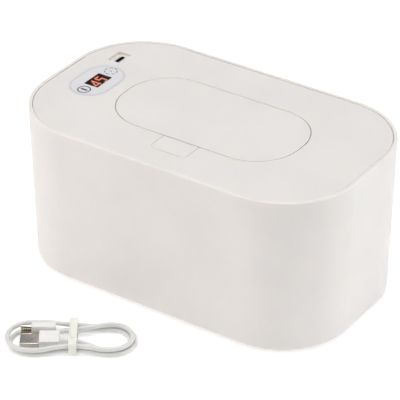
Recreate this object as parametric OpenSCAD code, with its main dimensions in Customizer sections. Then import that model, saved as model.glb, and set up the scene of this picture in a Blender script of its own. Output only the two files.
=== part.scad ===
// Baby wipe warmer: a tapered, foam-lined case under a lift-off cover. The cover holds the heater,
// a two-digit display, a press tab and an oval flip lid over the mouth that the wipes come out of.
// A USB cable lies beside it in a tied hank.
// Frame: X runs along the length with the display at -X, Y to the back and Z up from the table,
// with the origin under the middle of the case. Sizes are in millimetres.

/* [Case] */
// Length of the case at its rim
body_l = 225; // [205:1:260]
// Width of the case at its rim
body_w = 134; // [126:1:160]
// Height of the case, without its feet
body_h = 105; // [90:1:130]
// Radius of the upright corners at the rim, seen from above
corner_r = 48.5; // [44:0.5:54]
// How far each wall leans in from the rim to the floor
wall_draft = 2.4; // [0:0.1:4]
// Thickness of the case wall
wall_t = 2.4; // [1.8:0.1:3]
// Thickness of the case floor
floor_t = 2.4; // [1.8:0.1:4]
// Chamfer round the bottom edge
foot_chamfer = 1.5; // [0.5:0.1:2]
// Chamfer on the rim's outer edge
rim_chamfer = 0.5; // [0.2:0.1:0.8]
// How far the ledge that carries the tub reaches in from the wall
ledge_reach = 3.4; // [2:0.1:4]
// Height of the ledge's upright edge
ledge_t = 2; // [1:0.1:3]

/* [Feet] */
// Diameter of a rubber foot
foot_d = 14; // [8:1:20]
// How far a foot stands below the case
foot_h = 1.2; // [0.8:0.1:3]
// Depth of a foot's recess in the case floor
foot_recess = 0.8; // [0.4:0.1:1.2]
// Distance from the case's ends to the middle of a foot
foot_in_x = 34.5; // [30:0.5:50]
// Distance from the case's front and back to the middle of a foot
foot_in_y = 29; // [26:0.5:36]

/* [Tub] */
// Thickness of the tub's wall, floor and flange
tub_t = 1.8; // [1.4:0.1:2.4]
// Distance from the case's outer face to the tub's inner face
tub_inset = 9.4; // [8.6:0.1:9.8]
// Thickness of the foam round the tub
foam_t = 4.2; // [2:0.1:4.4]
// Thickness of the foam under the tub
pad_t = 3; // [1:0.5:6]

/* [Cover] */
// Thickness of the cover's top
panel_t = 1.8; // [1.5:0.1:2]
// How far the rim stands above the cover
cover_drop = 0.3; // [0:0.1:0.6]
// Gap between the rim and the cover
cover_gap = 0.3; // [0.3:0.05:0.6]
// Height of the cover's skirt
skirt_h = 9.9; // [8:0.1:12]
// Thickness of the cover's skirt
skirt_t = 2; // [1.6:0.1:2.4]
// Thickness of the cover's lower half
liner_t = 1.8; // [1.4:0.1:2]
// Height of the gasket between cover and tub
gasket_h = 1.5; // [1:0.1:2.5]
// Width of the gasket
gasket_w = 2.6; // [1.5:0.1:3]
// Depth of the recess for the heater under the cover
heater_recess = 4; // [3.8:0.1:6]

/* [Flip lid] */
// Distance from the left end of the case to the lid
lid_left = 50.65; // [50.2:0.05:60]
// Distance from the right end of the case to the lid
lid_right = 48.65; // [40:0.05:60]
// Distance from the front of the case to the lid, and from the back
lid_side = 34.4; // [33.4:0.1:38]
// Straight part of each of the lid's ends, between its round corners
lid_end = 6.2; // [2:0.1:12]
// Gap round the flip lid
lid_gap = 0.6; // [0.5:0.05:0.8]
// How far the ledge under the lid's edge reaches in from the well's wall
lid_ledge = 1.6; // [1:0.1:2]
// Thickness of that ledge
lid_ledge_t = 1.2; // [0.8:0.1:1.6]
// Depth of the well under the lid, from the top of the cover
well_depth = 17.5; // [17.3:0.1:20]
// Thickness of the well's wall and floor
well_t = 1.6; // [1.2:0.1:2]
// How far the hinge pin lies behind the lid's back edge
hinge_back = 9; // [8.8:0.1:9.6]
// How far the hinge pin lies below the top of the cover
hinge_drop = 4.3; // [4.2:0.1:4.5]
// Diameter of the hinge pin
pin_d = 2; // [1.6:0.1:2.2]
// Radial clearance of the pin in its bores
pin_clearance = 0.05; // [0.02:0.01:0.1]
// Distance from the lid's middle to each hinge arm
arm_x = 24; // [20:1:28]
// Width of a hinge arm
arm_w = 5; // [4:0.5:6]
// Thickness of a hinge arm
arm_t = 2.4; // [2:0.1:2.6]

/* [Outlet] */
// Distance from the lid's ends to the collar that it seals on
collar_in_x = 20.85; // [18:0.05:26]
// Distance from the lid's front and back to the collar
collar_in_y = 14.6; // [13:0.1:17]
// Distance from the collar's ends to the mouth that the wipes come through
mouth_in_x = 12; // [10:0.5:20]
// Distance from the collar's front and back to the mouth
mouth_in_y = 9; // [8:0.1:11]
// Height of the collar above the well's floor
collar_h = 9.6; // [6:0.1:10]

/* [Press tab] */
// Length of the press tab
tab_l = 25; // [20:1:30]
// Width of the press tab, from the lid's front edge
tab_w = 15.3; // [13:0.1:16]
// Radius of the press tab's front corners
tab_r = 3.5; // [1:0.5:7]
// Gap in front of the press tab
tab_gap = 0.45; // [0.3:0.05:0.6]
// Gap at each side of the press tab
tab_side_gap = 0.3; // [0.3:0.05:0.6]
// How far the tab goes down when pressed
tab_travel = 1.8; // [1:0.1:2]

/* [Control panel] */
// Distance from the left end of the case to the panel's middle
panel_edge = 28; // [27:0.5:29]
// Length of the panel, across the case
panel_l = 41; // [40:0.5:44]
// Width of the panel
panel_w = 27; // [26:0.5:29]
// Thickness of the panel's film
film_t = 0.35; // [0.2:0.05:0.5]
// Length of the display window
window_l = 15.6; // [14:0.1:18]
// Width of the display window
window_w = 10.2; // [9:0.1:11]
// Height of a digit
digit_h = 8.2; // [6:0.1:8.6]
// Width of the narrower digit
digit_w = 4; // [3:0.1:4.5]
// Distance from one digit to the next
digit_pitch = 6.6; // [6.2:0.1:7]
// Width of a lit stroke
stroke_w = 0.9; // [0.5:0.05:1.2]
// Distance from the display to each touch key
key_pitch = 14.2; // [13:0.1:15]

/* [Charging socket] */
// Distance from the left end of the case to the socket
socket_edge = 21.2; // [20.5:0.1:22]
// How far the socket lies behind the middle of the case
socket_y = 32.8; // [31:0.1:34]
// Size of the socket's pocket along the case
pocket_l = 9.8; // [9:0.1:11]
// Size of the socket's pocket across the case
pocket_w = 13.5; // [12:0.1:15]
// Depth of the pocket
pocket_depth = 2; // [1:0.1:3]

/* [Heater] */
// Distance from the ends of the case to the heater plate
heater_in = 20.5; // [19.5:0.1:26]
// Distance from the plate's long edges to the screws beside the well
heater_edge = 5; // [4.5:0.1:7]
// Straight part of each of the plate's ends, between its round corners
heater_end = 24; // [12:1:32]
// Thickness of the heater plate
plate_t = 1; // [0.8:0.1:1.2]
// Thickness of the foam above the heater
heater_foam_t = 2; // [1.5:0.1:2.2]
// Thickness of the heating film
heat_film_t = 0.3; // [0.2:0.05:0.4]

/* [Board and screws] */
// Thickness of the circuit board
board_t = 1.6; // [1:0.1:2]
// How far the board lies below the top of the cover
board_drop = 12.3; // [12:0.1:13]
// Diameter of a cover or heater screw's shank
screw_d = 2.6; // [2:0.1:3]
// Diameter of a cover or heater screw's head
head_d = 5; // [4:0.1:5.4]
// Thickness of a screw head
head_t = 1.4; // [1:0.1:1.8]
// Diameter of a board screw's shank
board_screw_d = 2; // [1.6:0.1:2.4]

/* [Cable] */
// Diameter of the cable
cable_d = 3; // [2.8:0.1:3.1]
// Bend radius of the innermost loop
bend_r = 10.2; // [10:0.1:12]
// Step from one loop to the next, side by side or on top
cable_step = 3.55; // [3.55:0.01:3.8]
// How far the loops are drawn in under the tie
waist_depth = 2.2; // [1:0.1:2.4]
// Width of the tie
tie_w = 5; // [4:0.5:8]
// Thickness of the tie
tie_t = 0.8; // [0.6:0.1:1]

/* [Hidden] */
$fn = 96;

// Colours
ivory = "#EDE8E1";
tub_white = "#E6E7E6";
foam_grey = "#C9CCCF";
silicone = "#D9DCDD";
rubber_grey = "#8F9091";
steel = "#B9BBBE";
board_green = "#2F6B4A";
cable_white = "#F1F1EF";

// Fits
seat_gap = 0.1; // between faces that rest on each other
fit_gap = 0.4; // round loose parts
soft_gap = 0.3; // beside soft or moving parts
screw_clearance = 0.05; // radial, screw in its bore
through_clearance = 0.3; // radial, screw through a plate
overlap = 0.5; // how far joined shapes run into each other
past = 1; // how far a cut runs past a face
tiny = 0.001; // no flat between two rounded corners is shorter

// Heights, from the table up
rim_z = foot_h + body_h;
cover_z = rim_z - cover_drop;
panel_z = cover_z - panel_t;
skirt_z = cover_z - skirt_h;
flange_z = skirt_z - seat_gap;
gasket_z = flange_z - liner_t - gasket_h;
tub_flange_z = gasket_z - seat_gap;
ledge_z = tub_flange_z - tub_t - seat_gap;
pad_z = foot_h + floor_t + seat_gap;
tub_floor_z = pad_z + pad_t + seat_gap;
well_z = cover_z - well_depth;
liner_z = well_z - well_t - seat_gap - liner_t;
liner_foot_z = liner_z - heater_recess;
heater_foam_z = liner_z - seat_gap - heater_foam_t;
heat_film_z = heater_foam_z - seat_gap - heat_film_t;
plate_z = heat_film_z - seat_gap - plate_t;
hinge_z = cover_z - hinge_drop;
collar_z = well_z + collar_h;
board_top_z = cover_z - board_drop;
board_z = board_top_z - board_t;
pocket_z = cover_z - pocket_depth;

// Insets from the outer face of the rim
skirt_in = wall_t + cover_gap;
tub_out = tub_inset - tub_t;
liner_in = tub_inset + 3 * fit_gap;
ledge_in = wall_t + ledge_reach;

// Plan of the case
corner_x = body_l / 2 - corner_r;
corner_y = body_w / 2 - corner_r;

function lean(z) = wall_draft * (rim_z - z) / body_h;

// Flip lid, well and hinge
lid_l = body_l - lid_left - lid_right;
lid_w = body_w - 2 * lid_side;
lid_r = (lid_w - lid_end) / 2;
lid_x = (lid_left - lid_right) / 2;
well_l = lid_l + 2 * lid_gap;
well_w = lid_w + 2 * lid_gap;
well_r = lid_r + lid_gap;
lid_y = lid_w / 2;
well_y = well_w / 2;
hinge_y = lid_y + hinge_back;
lid_edge_t = 0.6; // full-width part of the lid's edge
lid_edge_step = 0.5; // how far the rest of the edge is set back
liner_plate_t = 1.6;
liner_plate_in = 3.5; // from the lid's edge to its liner's edge
liner_plate_z = panel_z - seat_gap - liner_plate_t;
bore_r = pin_d / 2 + pin_clearance;
barrel_r = pin_d / 2 + 1.2;
edge_reach = norm([hinge_back - lid_gap, hinge_drop]); // pin to the edge of the cover's opening
arm_in_r = edge_reach + 0.36;
arm_out_r = arm_in_r + arm_t;
arm_leg_y = 1.8; // back face of the arm's leg, behind the pin
arm_leg_t = 3;
slot_w = arm_w + 1.2;
lug_t = 3;
lug_w = 5.2;
spring_room = 6.2; // between a hinge arm and its inner lug
outer_lug_x = arm_x + arm_w / 2 + fit_gap + lug_t / 2;
inner_lug_x = arm_x - arm_w / 2 - spring_room - lug_t / 2;
pin_l = 2 * (outer_lug_x + lug_t / 2) + 1;
spring_r = 1.75; // middle of the wire to the pin's axis
spring_leg = 6;
seal_h = 1.8;
seal_w = 2.6;
collar_t = 1.4;
collar_l = lid_l - 2 * collar_in_x;
collar_w = lid_w - 2 * collar_in_y;
collar_end = 2; // straight part of each of the collar's ends
collar_r = (collar_w - collar_end) / 2;

// Mouth
mouth_l = collar_l - 2 * mouth_in_x;
mouth_w = collar_w - 2 * mouth_in_y;
mouth_r = mouth_w / 2;
neck_t = 3.4; // wall of the soft mouth
neck_gap = 0.5;
duct_t = 1.4; // wall of the duct through the liner
mouth_flange_t = 2;

// Press tab
tab_front_y = -well_y - tab_w;
tab_mid_y = -well_y - tab_w / 2;
lip_reach = 1.2; // how far the tab's lip runs under the cover
lip_t = 1;
chute_w = tab_l + 2 * (tab_gap + lip_reach + fit_gap);
chute_depth = 10.4; // from under the cover to the chute's floor
chute_floor_z = panel_z - chute_depth;
chute_front_y = tab_front_y - tab_gap - lip_reach - fit_gap;
latch_drop = [9, 4]; // bottom and top of the catch's window, below the cover's plate
shoulder_rise = 2.6; // the catch holds under the window's shoulders
window_z0 = panel_z - latch_drop[0];
window_z1 = panel_z - latch_drop[1];
shoulder_z = window_z0 + shoulder_rise;
latch_w = 8;
wedge_w = 4;
catch_t = 1.4;
catch_gap = 0.4; // the catch stops this far from the well's wall

// Control panel and socket
panel_x = -body_l / 2 + panel_edge;
film_shift = [-0.5, -0.4]; // middle of the film, from the middle of the display
four_spread = 1.3; // width of the 4, in widths of the 5
four_stem = 0.34; // stem of the 4, from its middle, in its widths
four_bar = -0.25; // bar of the 4, from its middle, in its heights
five_waist = 0.08; // waist of the 5, from its middle, in its heights
socket_x = -body_l / 2 + socket_edge;
window_t = 1;
socket_size = [3.2, 8.95];
socket_wall = 0.3;
socket_depth = 6.4;
tongue = [0.7, 6.7];
tongue_l = 5.6;

// Board: its edges lie this far from the middle of the panel, the last key and the socket
board_in = 13; // from the case's outer face to the board's rounded corner
board_left = 13;
board_right = 15;
board_front = 7.8;
board_back = 5.2;
board_x = [panel_x - board_left, panel_x + board_right];
board_y = [-key_pitch - board_front, socket_y + board_back];
chip = [6, 8, 1.5];
chip_at = [-3.5, -1.2];
driver_chip = [5, 4, 1.2];
driver_chip_at = [3, 18];
connector_size = [5, 5]; // length and height
connector_side = 0.9; // wall beside the leads
connector_in = 6.6; // from the board's right edge

// Screws: cover, heater and board
front_screw_at = [18.5, 27];
right_screw_in = 17;
side_screw_in = [56.5, 16.8];
end_heater_screw_in = 32.5;
side_heater_screw_in = [17.5, 6.2];
heater_screw_y = well_y + well_t + side_heater_screw_in[1];
cover_screw_at = [
  [-body_l / 2 + front_screw_at[0], -front_screw_at[1]],
  [body_l / 2 - right_screw_in, 0],
  for (sx = [-1, 1], sy = [-1, 1])
    [sx * (body_l / 2 - side_screw_in[0]), sy * (body_w / 2 - side_screw_in[1])]
];
heater_screw_at = [
  for (sx = [-1, 1]) [sx * (body_l / 2 - end_heater_screw_in), 0],
  for (sx = [-1, 1], sy = [-1, 1]) [sx * (lid_l / 2 - side_heater_screw_in[0]), sy * heater_screw_y]
];
board_screw_in = [4, 5];
board_screw_at = [
  [board_x[1] - board_screw_in[0], board_y[0] + board_screw_in[0]],
  [board_x[0] + board_screw_in[1], board_y[0] + board_screw_in[1]],
  [board_x[1] - board_screw_in[0], board_y[1] - board_screw_in[1]]
];
boss_r = screw_d / 2 + 1.7;
heater_boss_h = liner_t + 3.2;
screw_bore_r = screw_d / 2 + screw_clearance;
through_r = screw_d / 2 + through_clearance;
cover_screw_l = 9; // depth of the bore
cover_screw_bite = 8;
heater_bore = 5; // depth from the liner's underside
heater_screw_bite = 2.8;
board_bore = 4.6;
board_screw_bite = 3.6;
board_head_d = 4;
cross_w = 0.7; // slots of a screw's cross, and their depth
cross_share = 0.6; // of the head's diameter
standoff_r = 2.6;

// Leads from the board to the heater
lead_x = board_x[1] + 2.2;
lead_slot = [3.4, 9];
heater_lead_y = [11, 13.4];
sensor_lead_y = [16, 17.6];
heater_lead_r = 0.6;
sensor_lead_r = 0.4;
lead_rise = 3; // the leads leave their plug this far above the board
sensor_r = 0.9;
sensor_z = heat_film_z + heat_film_t + seat_gap + sensor_r;
thermistor_l = 4.4;
thermistor_at = [3.4, 0.8]; // to the left of the leads and behind the first sensor lead
fuse_l = 6.6;
fuse_at = [4.6, 6.4];
sensor_bay_size = [9, 14];
sensor_bay_front = 1.2;

// Heater plate
heater_l = body_l - 2 * heater_in;
heater_w = 2 * (heater_screw_y + heater_edge);
heater_r = (heater_w - heater_end) / 2;

// Cable hank. It has its own frame: u along the hank, v across it, w up.
hank_at = [-20, -118, 0];
hank_turn = 34;
hank_left = 24.9; // fold centre on the plugs' side
hank_right = 22.7; // fold centre on the other side
rings_per_loop = 24;
loops = 2.5;
climb_at = 1.5; // the loop at which the cable climbs to the second layer
climb_half = 0.1;
waist_reach = 22;
table_gap = 0.05;
tie_lift = tie_t + 0.35; // the tie's thickness lifts the waist off the table
lift_from = 6; // the lift ends between these distances from the tie
lift_to = 20;
tie_room = 0.5; // beside the cable's straight stretches
tie_peg_in = 7.5; // from the tie's lower end to the peg that holds its strap
tie_peg_r = 1.2;
tie_peg_h = 0.5;
tie_peg_sink = 0.2;
run_share = [0.1, 0.39, 0.6, 0.89]; // where the runs and folds of a loop meet
tail_rise = 0.6 * hank_right; // length over which a tail comes down to the loops

// Plugs: place across the hank, height, front and back of the strain relief
plug_a = [-2.7, 3.8, -3, -8];
plug_c = [6.2, 4.9, -5.2, -10.6];
grip_a = [12.2, 12.4, 7.5];
shell_a = [11.4, 12, 4.5];
grip_c = [14.5, 5, 9.6];
shell_c = [6.6, 2.5, 8.3];
relief_d = [6, 3.8];

// ---------------------------------------------------------------- shared shapes

// Rounded rectangle, centred. With r at half of w or l it is a stadium.
module rounded(l, w, r) {
  x = l / 2 - r;
  y = w / 2 - r;
  if (x > tiny) square([2 * x, w], center = true);
  if (y > tiny) square([l, 2 * y], center = true);
  for (cx = x > tiny ? [-x, x] : [0], cy = y > tiny ? [-y, y] : [0]) translate([cx, cy]) circle(r = r);
}

// Plate with the plan of the case, set in by inset
module plan_plate(z, h, inset) {
  translate([0, 0, z])
    linear_extrude(h) rounded(body_l - 2 * inset, body_w - 2 * inset, corner_r - inset);
}

// Upright plate with its own rounded outline
module slab(z, h, l, w, r) {
  translate([0, 0, z]) linear_extrude(h) rounded(l, w, r);
}

// Carries a section (distance from the corner's axis, height) once round the plan of the case
module around() {
  for (sx = [-1, 1], sy = [-1, 1])
    translate([sx * corner_x, sy * corner_y, 0])
      rotate([0, 0, sx > 0 ? (sy > 0 ? 0 : 270) : (sy > 0 ? 90 : 180)])
        rotate_extrude(angle = 90) children();
  for (side = [0:3]) {
    across = side % 2 == 0;
    rotate([0, 0, 90 * side])
      translate([across ? corner_x : corner_y, 0, 0])
        rotate([90, 0, 0])
          linear_extrude(2 * (across ? corner_y : corner_x), center = true) children();
  }
}

// Carries a section in Y and Z along X, centred on x
module along_x(x, w) {
  translate([x - w / 2, 0, 0]) rotate([90, 0, 90]) linear_extrude(w) children();
}

// Box from its lowest and highest corners
module box(low, high) {
  translate(low) cube(high - low);
}

function unit(v) = v / norm(v);
function smooth(t) = let (s = min(1, max(0, t))) s * s * (3 - 2 * s);
function mix(a, b, t) = a + (b - a) * t;

// Round tube along a path. upright is a direction that the path never runs along.
module tube(path, r, sides, upright = [0, 0, 1]) {
  n = len(path);
  ring = [
    for (i = [0:n - 1])
      let (
        ahead = unit(path[min(n - 1, i + 1)] - path[max(0, i - 1)]),
        side = unit(cross(upright, ahead)),
        up = cross(ahead, side)
      )
      for (k = [0:sides - 1])
        path[i] + r * (side * cos(360 * k / sides) + up * sin(360 * k / sides))
  ];
  walls = [
    for (i = [0:n - 2], k = [0:sides - 1])
      let (a = i * sides + k, b = i * sides + (k + 1) % sides)
      each [[a, a + sides, b], [b, a + sides, b + sides]]
  ];
  caps = [
    for (k = [1:sides - 2]) each [
      [0, k, k + 1],
      [(n - 1) * sides, (n - 1) * sides + k + 1, (n - 1) * sides + k]
    ]
  ];
  polyhedron(points = ring, faces = concat(walls, caps));
}

// Upright coil spring
function coil(turns, h, r, rings = 8) = [
  for (i = [0:turns * rings])
    [r * cos(360 * i / rings), r * sin(360 * i / rings), h * i / (turns * rings)]
];

// ---------------------------------------------------------------- case

module outer_shell() {
  low_z = foot_h + foot_chamfer;
  back_z = ledge_z - ledge_t - ledge_reach;
  color(ivory) difference() {
    union() {
      around() polygon([
        [corner_r - wall_draft - wall_t, foot_h],
        [corner_r - lean(foot_h) - foot_chamfer, foot_h],
        [corner_r - lean(low_z), low_z],
        [corner_r - lean(rim_z - rim_chamfer), rim_z - rim_chamfer],
        [corner_r - rim_chamfer, rim_z],
        [corner_r - wall_t, rim_z],
        [corner_r - wall_t, ledge_z],
        [corner_r - ledge_in, ledge_z],
        [corner_r - ledge_in, ledge_z - ledge_t],
        [corner_r - wall_t - lean(back_z), back_z],
        [corner_r - wall_t - wall_draft, foot_h + floor_t]
      ]);
      plan_plate(foot_h, floor_t, wall_draft + wall_t - overlap);
    }
    feet_at() translate([0, 0, -past]) cylinder(d = foot_d + 2 * seat_gap, h = past + foot_recess);
  }
}

// Places its children at the four feet, at the underside of the case
module feet_at() {
  for (sx = [-1, 1], sy = [-1, 1])
    translate([sx * (body_l / 2 - foot_in_x), sy * (body_w / 2 - foot_in_y), foot_h]) children();
}

module rubber_feet() {
  edge = 0.4;
  color(rubber_grey) feet_at() translate([0, 0, -foot_h]) rotate_extrude() polygon([
    [0, 0],
    [foot_d / 2 - edge, 0],
    [foot_d / 2, edge],
    [foot_d / 2, foot_h + foot_recess - seat_gap / 2],
    [0, foot_h + foot_recess - seat_gap / 2]
  ]);
}

module inner_tub() {
  wall_in = tub_inset;
  color(tub_white) {
    around() polygon([
      [corner_r - wall_in - lean(tub_floor_z) - overlap, tub_floor_z],
      [corner_r - tub_out - lean(tub_floor_z), tub_floor_z],
      [corner_r - tub_out - lean(tub_flange_z), tub_flange_z - tub_t],
      [corner_r - skirt_in, tub_flange_z - tub_t],
      [corner_r - skirt_in, tub_flange_z],
      [corner_r - wall_in - lean(tub_flange_z), tub_flange_z],
      [corner_r - wall_in - lean(tub_floor_z), tub_floor_z + tub_t],
      [corner_r - wall_in - lean(tub_floor_z) - overlap, tub_floor_z + tub_t]
    ]);
    plan_plate(tub_floor_z, tub_t, wall_in + lean(tub_floor_z) + overlap / 2);
  }
}

module insulation_wrap() {
  top_z = ledge_z - ledge_t - ledge_reach - fit_gap;
  mid_in = (wall_t + tub_out) / 2;
  color(foam_grey) around() polygon([
    [corner_r - mid_in - lean(pad_z) - foam_t / 2, pad_z],
    [corner_r - mid_in - lean(pad_z) + foam_t / 2, pad_z],
    [corner_r - mid_in - lean(top_z) + foam_t / 2, top_z],
    [corner_r - mid_in - lean(top_z) - foam_t / 2, top_z]
  ]);
}

module insulation_pad() {
  color(foam_grey) plan_plate(pad_z, pad_t, (wall_t + tub_out) / 2 + wall_draft + foam_t / 2 + fit_gap);
}

// ---------------------------------------------------------------- cover

module cover_panel() {
  color(ivory) difference() {
    union() {
      around() polygon([
        [corner_r - skirt_in - skirt_t - overlap, panel_z],
        [corner_r - skirt_in - skirt_t, panel_z],
        [corner_r - skirt_in - skirt_t, skirt_z],
        [corner_r - skirt_in, skirt_z],
        [corner_r - skirt_in, cover_z - rim_chamfer],
        [corner_r - skirt_in - rim_chamfer, cover_z],
        [corner_r - skirt_in - skirt_t - overlap, cover_z]
      ]);
      plan_plate(panel_z, panel_t, skirt_in + skirt_t + overlap / 2);
      lid_well();
      tab_chute();
      socket_pocket();
      hinge_lugs();
      for (at = cover_screw_at)
        translate([at[0], at[1], well_z - well_t])
          cylinder(r = boss_r, h = panel_z + overlap - well_z + well_t);
    }
    translate([lid_x, 0, 0]) {
      slab(well_z, well_depth + past, well_l, well_w, well_r);
      slab(well_z - well_t - past, well_t + 2 * past, mouth_l + 2 * neck_t + 2 * neck_gap,
           mouth_w + 2 * neck_t + 2 * neck_gap, mouth_r + neck_t + neck_gap);
      arm_slots();
      tab_opening();
      latch_window();
      along_x(0, pin_l + 2 * past) translate([hinge_y, hinge_z]) circle(r = bore_r);
    }
    panel_cuts();
    for (at = cover_screw_at)
      translate([at[0], at[1], well_z - well_t - past]) cylinder(r = screw_bore_r, h = cover_screw_l + past);
  }
  color(ivory) translate([lid_x, 0, 0]) difference() {
    slab(well_z - overlap, collar_h + overlap, collar_l, collar_w, collar_r);
    slab(well_z - past, collar_h + 2 * past, collar_l - 2 * collar_t, collar_w - 2 * collar_t,
         collar_r - collar_t);
  }
  color(ivory) translate([lid_x, 0, panel_z - seat_gap - lid_ledge_t]) lid_edge_ledge();
}

// Ledge that the lid's edge lies over, with gaps for the hinge arms and beside the press tab
module lid_edge_ledge() {
  over = lid_ledge_t + past;
  difference() {
    slab(0, lid_ledge_t, well_l + 2 * overlap, well_w + 2 * overlap, well_r + overlap);
    slab(-past, past + over, well_l - 2 * lid_ledge, well_w - 2 * lid_ledge, well_r - lid_ledge);
    for (side = [-1, 1])
      box([side * arm_x - slot_w / 2, 0, -past], [side * arm_x + slot_w / 2, well_y + past, over]);
    box([-chute_w / 2, -well_y - past, -past], [chute_w / 2, 0, over]);
  }
}

// Walls and floor of the well, as a solid block that the opening is cut from
module lid_well() {
  translate([lid_x, 0, 0])
    slab(well_z - well_t, panel_z + overlap - well_z + well_t, well_l + 2 * well_t,
         well_w + 2 * well_t, well_r + well_t);
}

// Openings in the well's back wall that the hinge arms swing through
module arm_slots() {
  for (side = [-1, 1])
    box([side * arm_x - slot_w / 2, well_y - past, well_z],
        [side * arm_x + slot_w / 2, well_y + well_t + past, panel_z]);
}

module hinge_lugs() {
  for (side = [-1, 1], x = [inner_lug_x, outer_lug_x])
    translate([lid_x + side * x - lug_t / 2, hinge_y - lug_w / 2, hinge_z - lug_w / 2])
      cube([lug_t, lug_w, panel_z + overlap - hinge_z + lug_w / 2]);
}

// Pocket under the press tab, open to the well's front wall
module tab_chute() {
  low = [lid_x - chute_w / 2 - well_t, chute_front_y - well_t, chute_floor_z - well_t];
  high = [lid_x + chute_w / 2 + well_t, -well_y - well_t / 2, panel_z + overlap];
  difference() {
    box(low, high);
    box([low[0] + well_t, low[1] + well_t, chute_floor_z], [high[0] - well_t, high[1] + past, panel_z]);
  }
}

// Outline of the press tab, rounded at its front corners, wider by side and longer by grow
module tab_outline(grow, side, back) {
  r = tab_r + grow;
  half = tab_l / 2 + side;
  front = tab_front_y - grow;
  translate([-half, front + r]) square([2 * half, back - front - r]);
  translate([r - half, front]) square([2 * (half - r), back - front]);
  for (end = [-1, 1]) translate([end * (half - r), front + r]) circle(r = r);
}

module tab_opening() {
  low_z = panel_z - tab_travel - lip_t - fit_gap;
  translate([0, 0, panel_z - past]) linear_extrude(panel_t + 2 * past)
    tab_outline(tab_gap, tab_side_gap, -well_y + past);
  box([-chute_w / 2, -well_y - well_t - past, low_z], [chute_w / 2, -well_y + past, panel_z]);
}

// Window that the catch snaps into, with a narrower slot above it for the tab's wedge
module latch_window() {
  wall = [-well_y - well_t - past, -well_y + past];
  box([-latch_w / 2 - 1, wall[0], window_z0], [latch_w / 2 + 1, wall[1], shoulder_z]);
  box([-wedge_w / 2 - fit_gap, wall[0], window_z0], [wedge_w / 2 + fit_gap, wall[1], window_z1]);
}

module socket_pocket() {
  wall = 1.2;
  translate([socket_x, socket_y, 0])
    slab(pocket_z - wall, panel_z + overlap - pocket_z + wall, pocket_l + 2 * wall, pocket_w + 2 * wall,
         wall + 1);
}

// What is cut from the top of the cover for the control panel and the socket
module panel_cuts() {
  translate([panel_x, 0, 0]) {
    translate(film_shift)
      slab(cover_z - film_t, film_t + past, panel_w + seat_gap, panel_l + seat_gap,
           (panel_w + seat_gap) / 2);
    slab(panel_z - past, panel_t + 2 * past, window_w + 2 * seat_gap, window_l + 2 * seat_gap, 0.5);
  }
  translate([socket_x, socket_y, 0]) {
    slab(pocket_z, pocket_depth + past, pocket_l, pocket_w, 1);
    slab(pocket_z - 2 * past, 3 * past, socket_size[0] + 2 * seat_gap, socket_size[1] + 2 * seat_gap,
         socket_size[0] / 2 + seat_gap);
  }
}

module cover_liner() {
  inner_in = liner_in + liner_t;
  color(tub_white) difference() {
    union() {
      around() polygon([
        [corner_r - inner_in, liner_foot_z],
        [corner_r - liner_in, liner_foot_z],
        [corner_r - liner_in, flange_z - liner_t],
        [corner_r - skirt_in - seat_gap, flange_z - liner_t],
        [corner_r - skirt_in - seat_gap, flange_z],
        [corner_r - inner_in, flange_z]
      ]);
      plan_plate(liner_z, liner_t, inner_in - overlap);
      translate([lid_x, 0, 0])
        slab(liner_foot_z, heater_recess + overlap, duct_l() + 2 * duct_t, duct_w() + 2 * duct_t,
             duct_w() / 2 + duct_t);
      for (at = heater_screw_at)
        translate([at[0], at[1], liner_z]) cylinder(r = boss_r, h = heater_boss_h);
      for (at = board_screw_at)
        translate([at[0], at[1], liner_z]) cylinder(r = standoff_r, h = board_z - seat_gap - liner_z);
    }
    translate([lid_x, 0, 0])
      slab(liner_foot_z - past, heater_recess + liner_t + 2 * past, duct_l(), duct_w(), duct_w() / 2);
    for (at = cover_screw_at)
      translate([at[0], at[1], liner_z - past]) cylinder(r = through_r, h = liner_t + 2 * past);
    for (at = heater_screw_at)
      translate([at[0], at[1], liner_z - past]) cylinder(r = screw_bore_r, h = heater_bore - past);
    for (at = board_screw_at)
      translate([at[0], at[1], board_z - board_bore])
        cylinder(d = board_screw_d + 2 * screw_clearance, h = board_bore + past);
    lead_cut(liner_z - past, liner_t + 2 * past);
  }
}

// Opening of the duct that the soft mouth hangs in
function duct_l() = mouth_l + 2 * neck_t + 2 * neck_gap;
function duct_w() = mouth_w + 2 * neck_t + 2 * neck_gap;

// Slot that the leads pass through
module lead_cut(z, h) {
  middle_y = (heater_lead_y[0] + sensor_lead_y[1]) / 2;
  translate([lead_x - lead_slot[0] / 2, middle_y - lead_slot[1] / 2, z])
    cube([lead_slot[0], lead_slot[1], h]);
}

module cover_gasket() {
  middle = skirt_in + (liner_in - skirt_in) / 2;
  color(silicone) around() polygon([
    [corner_r - middle - gasket_w / 2, gasket_z],
    [corner_r - middle + gasket_w / 2, gasket_z],
    [corner_r - middle + gasket_w / 2, gasket_z + gasket_h - seat_gap / 2],
    [corner_r - middle - gasket_w / 2, gasket_z + gasket_h - seat_gap / 2]
  ]);
}

module wipe_outlet() {
  flange_l = collar_l - 2 * collar_t - 2 * fit_gap;
  flange_w = collar_w - 2 * collar_t - 2 * fit_gap;
  color(silicone) translate([lid_x, 0, 0]) difference() {
    union() {
      slab(well_z + seat_gap, mouth_flange_t, flange_l, flange_w, collar_r - collar_t - fit_gap);
      slab(liner_foot_z, well_z + seat_gap + overlap - liner_foot_z, mouth_l + 2 * neck_t,
           mouth_w + 2 * neck_t, mouth_r + neck_t);
    }
    slab(liner_foot_z - past, well_z - liner_foot_z + mouth_flange_t + 2 * past + seat_gap, mouth_l,
         mouth_w, mouth_r);
  }
}

// ---------------------------------------------------------------- heater

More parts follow.
